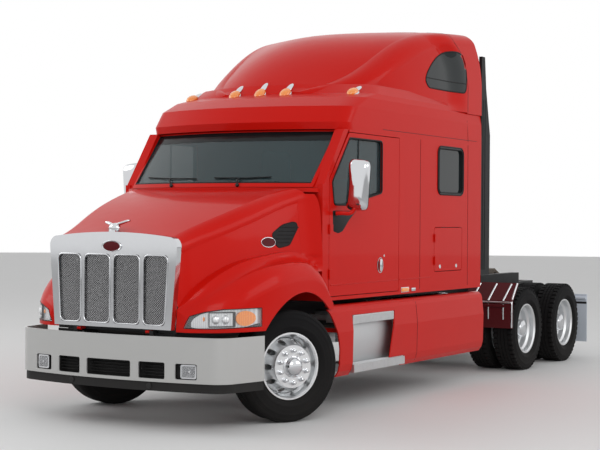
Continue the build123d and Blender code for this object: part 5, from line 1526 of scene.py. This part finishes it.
class TRACTOR_OT_quarter_fenders(bpy.types.Operator):
    """Lays bright rods and an edge strip on the quarter fenders"""

    bl_idname = "tractor.quarter_fenders"
    bl_label = "Quarter Fenders"

    def execute(self, context):
        for side, word in SIDES:
            for index, ends in enumerate(QUARTER_RODS):
                found = from_front("quarter_fenders", [(side * x, z) for x, z in ends], 0.006)
                if len(found) == 2:
                    pipe(f"quarter_rod_{index}_{word}", found, 0.0105, "bright_metal", "chassis")
            edge = from_front("quarter_fenders", [(side * 1.228, z) for z in QUARTER_EDGE], 0.004)
            pipe(f"quarter_edge_{word}", edge, 0.010, "bright_metal", "chassis")
        return {"FINISHED"}


RIB_HALF = Vector((0.004, 0.006, 0.0))
COUPLINGS = ((0.160, "service", "coupling_blue"), (0.240, "supply", "coupling_red"), (0.320, "plug", None))
COUPLING = ((0.0, 0.0), (0.0, 0.026), (0.014, 0.026), (0.018, 0.021), (0.034, 0.020), (0.038, 0.014), (0.038, 0.0))
TAIL_LENS = ((0.0, 0.0), (0.0, 0.048), (0.008, 0.047), (0.014, 0.040), (0.016, 0.0))
TAIL_BLOCKS = (
    ("coupling_plate", "bright_metal", "chassis", [((0.10, 4.036, 1.460), (0.38, 4.052, 1.580), 0.006)]),
    ("flap_bar_{}", "frame_black", "chassis", [((0.62, 7.496, 0.700), (1.198, 7.519, 0.752), 0.006)]),
    ("flap_strip_{}", "bright_metal", "chassis", [
        ((0.64, 7.500, 0.756), (1.190, 7.514, 0.776), 0.004), ((0.64, 7.506, 0.214), (1.180, 7.515, 0.250), 0.004)]),
    ("tail_lamp_base_{}", "black_plastic", "chassis", [((0.160, 7.474, 0.810), (0.420, 7.492, 0.930), 0.008)]),
)


class TRACTOR_OT_tail(bpy.types.Operator):
    """Dresses the deck, the extenders, the flaps and the tail"""

    bl_idname = "tractor.tail"
    bl_label = "Deck and Tail"

    def execute(self, context):
        block_pieces(TAIL_BLOCKS)
        for x, name, finish in COUPLINGS:
            bm = bmesh.new()
            add_spun(bm, COUPLING, 28, turned_to((0.0, 1.0, 0.0), (x, back(4.050), 1.520)))
            piece(f"coupling_{name}", bm, "black_plastic", "chassis", finish)
        for side, word in SIDES:
            bm = bmesh.new()
            for y in (4.09, 4.15, 4.21):
                ends = from_side("side_extenders", side, [(y, 1.25), (y, 3.20)])
                if len(ends) == 2:
                    add_block(bm, ends[0] - RIB_HALF, ends[1] + RIB_HALF, 0.003)
            piece(f"extender_ribs_{word}", bm, "black_plastic", "chassis")
            bm = bmesh.new()
            for x in (0.220, 0.355):
                add_spun(bm, TAIL_LENS, 36, turned_to((0.0, 1.0, 0.0), spot(side, x, 7.490, 0.870)))
            piece(f"tail_lamps_{word}", bm, "lamp_amber", "chassis", "red_lens")
        return {"FINISHED"}


SOFT_BOXES = (
    ("key_box", (9.0, -13.0, 9.0), (0.0, -2.0, 1.5), 8.0, 6.0, 560.0),
    ("side_box", (14.0, 3.0, 7.0), (0.0, 0.0, 1.5), 10.0, 6.0, 380.0),
    ("far_box", (-11.0, -7.0, 8.0), (0.0, 0.0, 1.5), 9.0, 6.0, 400.0),
)
SKY_FILL = 0.55
CAMERA_PLACE = (7.5825, -10.8341, 1.8008)
CAMERA_TURN = 0.53657
CAMERA_DIP = 0.0033140
CAMERA_ROLL = 0.0075250


class TRACTOR_OT_stage(bpy.types.Operator):
    """Lays the floor, hangs the lamps and sets up the camera"""

    bl_idname = "tractor.stage"
    bl_label = "Studio"

    def execute(self, context):
        scene = context.scene
        stage = scene.tractor_stage
        scene.view_settings.view_transform = "Standard"
        bm = bmesh.new()
        bmesh.ops.create_circle(bm, cap_ends=True, radius=stage.floor_radius, segments=96)
        mesh = bpy.data.meshes.new("studio_floor")
        bm.to_mesh(mesh)
        bm.free()
        floor = bpy.data.objects.new("studio_floor", mesh)
        scene.collection.objects.link(floor)
        finish = Finish("Studio Floor", roughness=0.6, specular_ior_level=0.2)
        shade = finish.noise(0.6, 3.0)
        grey = tuple(scene.tractor_colours.floor)
        finish.put(base_color=finish.blend(shade, tuple(c * 0.98 for c in grey), grey))
        floor.data.materials.append(finish.material)
        self.lamps(scene)
        self.sky(scene)
        self.camera(scene, stage.lens)
        return {"FINISHED"}

    def lamps(self, scene):
        """Large soft boxes: name, place, aimed at, size across, size up, watts."""
        for name, place, target, across, tall, watts in SOFT_BOXES:
            light = bpy.data.lights.new(name, "AREA")
            light.shape = "RECTANGLE"
            light.size = across
            light.size_y = tall
            light.energy = watts
            lamp = bpy.data.objects.new(name, light)
            lamp.location = place
            lamp.rotation_euler = (Vector(target) - Vector(place)).to_track_quat("-Z", "Y").to_euler()
            scene.collection.objects.link(lamp)

    def sky(self, scene):
        """White to the camera, in reflections and through glass, a soft grey light elsewhere."""
        world = bpy.data.worlds.new("studio_sky")
        world.use_nodes = True
        scene.world = world
        tree = world.node_tree
        seen = tree.nodes.new("ShaderNodeLightPath")
        shows = seen.outputs["Is Camera Ray"]
        for ray in ("Is Glossy Ray", "Is Transmission Ray"):
            either = tree.nodes.new("ShaderNodeMath")
            either.operation = "MAXIMUM"
            tree.links.new(shows, either.inputs[0])
            tree.links.new(seen.outputs[ray], either.inputs[1])
            shows = either.outputs[0]
        strength = tree.nodes.new("ShaderNodeMapRange")
        strength.inputs["To Min"].default_value = SKY_FILL
        strength.inputs["To Max"].default_value = 1.0
        tree.links.new(shows, strength.inputs["Value"])
        tree.links.new(strength.outputs[0], tree.nodes["Background"].inputs["Strength"])
        tree.nodes["Background"].inputs["Color"].default_value = (1.0, 1.0, 1.0, 1.0)

    def camera(self, scene, lens):
        """The studio's camera, ahead of the vehicle's left corner."""
        camera = bpy.data.cameras.new("camera")
        camera.sensor_width = 36.0
        camera.lens = lens
        camera.clip_end = 500.0
        holder = bpy.data.objects.new("camera", camera)
        turn = Matrix.Rotation(CAMERA_TURN, 4, "Z") @ Matrix.Rotation(math.pi / 2 - CAMERA_DIP, 4, "X")
        place = Matrix.Translation(spot(1, *CAMERA_PLACE))
        holder.matrix_world = place @ turn @ Matrix.Rotation(CAMERA_ROLL, 4, "Z")
        scene.collection.objects.link(holder)
        scene.camera = holder


PANEL_STEPS = (
    TRACTOR_OT_finishes,
    TRACTOR_OT_flanks,
    TRACTOR_OT_grille,
    TRACTOR_OT_headlamps,
    TRACTOR_OT_bumper,
    TRACTOR_OT_screen,
    TRACTOR_OT_hood,
    TRACTOR_OT_roof,
    TRACTOR_OT_side_glass,
    TRACTOR_OT_cab,
    TRACTOR_OT_mirrors,
    TRACTOR_OT_roof_lamps,
    TRACTOR_OT_wheels,
    TRACTOR_OT_steps,
    TRACTOR_OT_quarter_fenders,
    TRACTOR_OT_tail,
    TRACTOR_OT_stage,
)


class TRACTOR_PT_build(bpy.types.Panel):
    """Lists every step of the build"""

    bl_label = "Sleeper Tractor"
    bl_idname = "TRACTOR_PT_build"
    bl_space_type = "VIEW_3D"
    bl_region_type = "UI"
    bl_category = "Tractor"

    def draw(self, context):
        for group in (context.scene.tractor_colours, context.scene.tractor_stage):
            for field in group.__annotations__:
                self.layout.prop(group, field)
        for step in PANEL_STEPS:
            self.layout.operator(step.bl_idname)


CLASSES = (TRACTOR_PG_colours, TRACTOR_PG_stage, *PANEL_STEPS, TRACTOR_PT_build)


def register():
    for cls in CLASSES:
        bpy.utils.register_class(cls)
    bpy.types.Scene.tractor_colours = PointerProperty(type=TRACTOR_PG_colours)
    bpy.types.Scene.tractor_stage = PointerProperty(type=TRACTOR_PG_stage)


def unregister():
    del bpy.types.Scene.tractor_stage
    del bpy.types.Scene.tractor_colours
    for cls in reversed(CLASSES):
        bpy.utils.unregister_class(cls)


def main():
    register()
    for step in PANEL_STEPS:
        group, name = step.bl_idname.split(".")
        getattr(getattr(bpy.ops, group), name)()


if __name__ == "__main__":
    main()
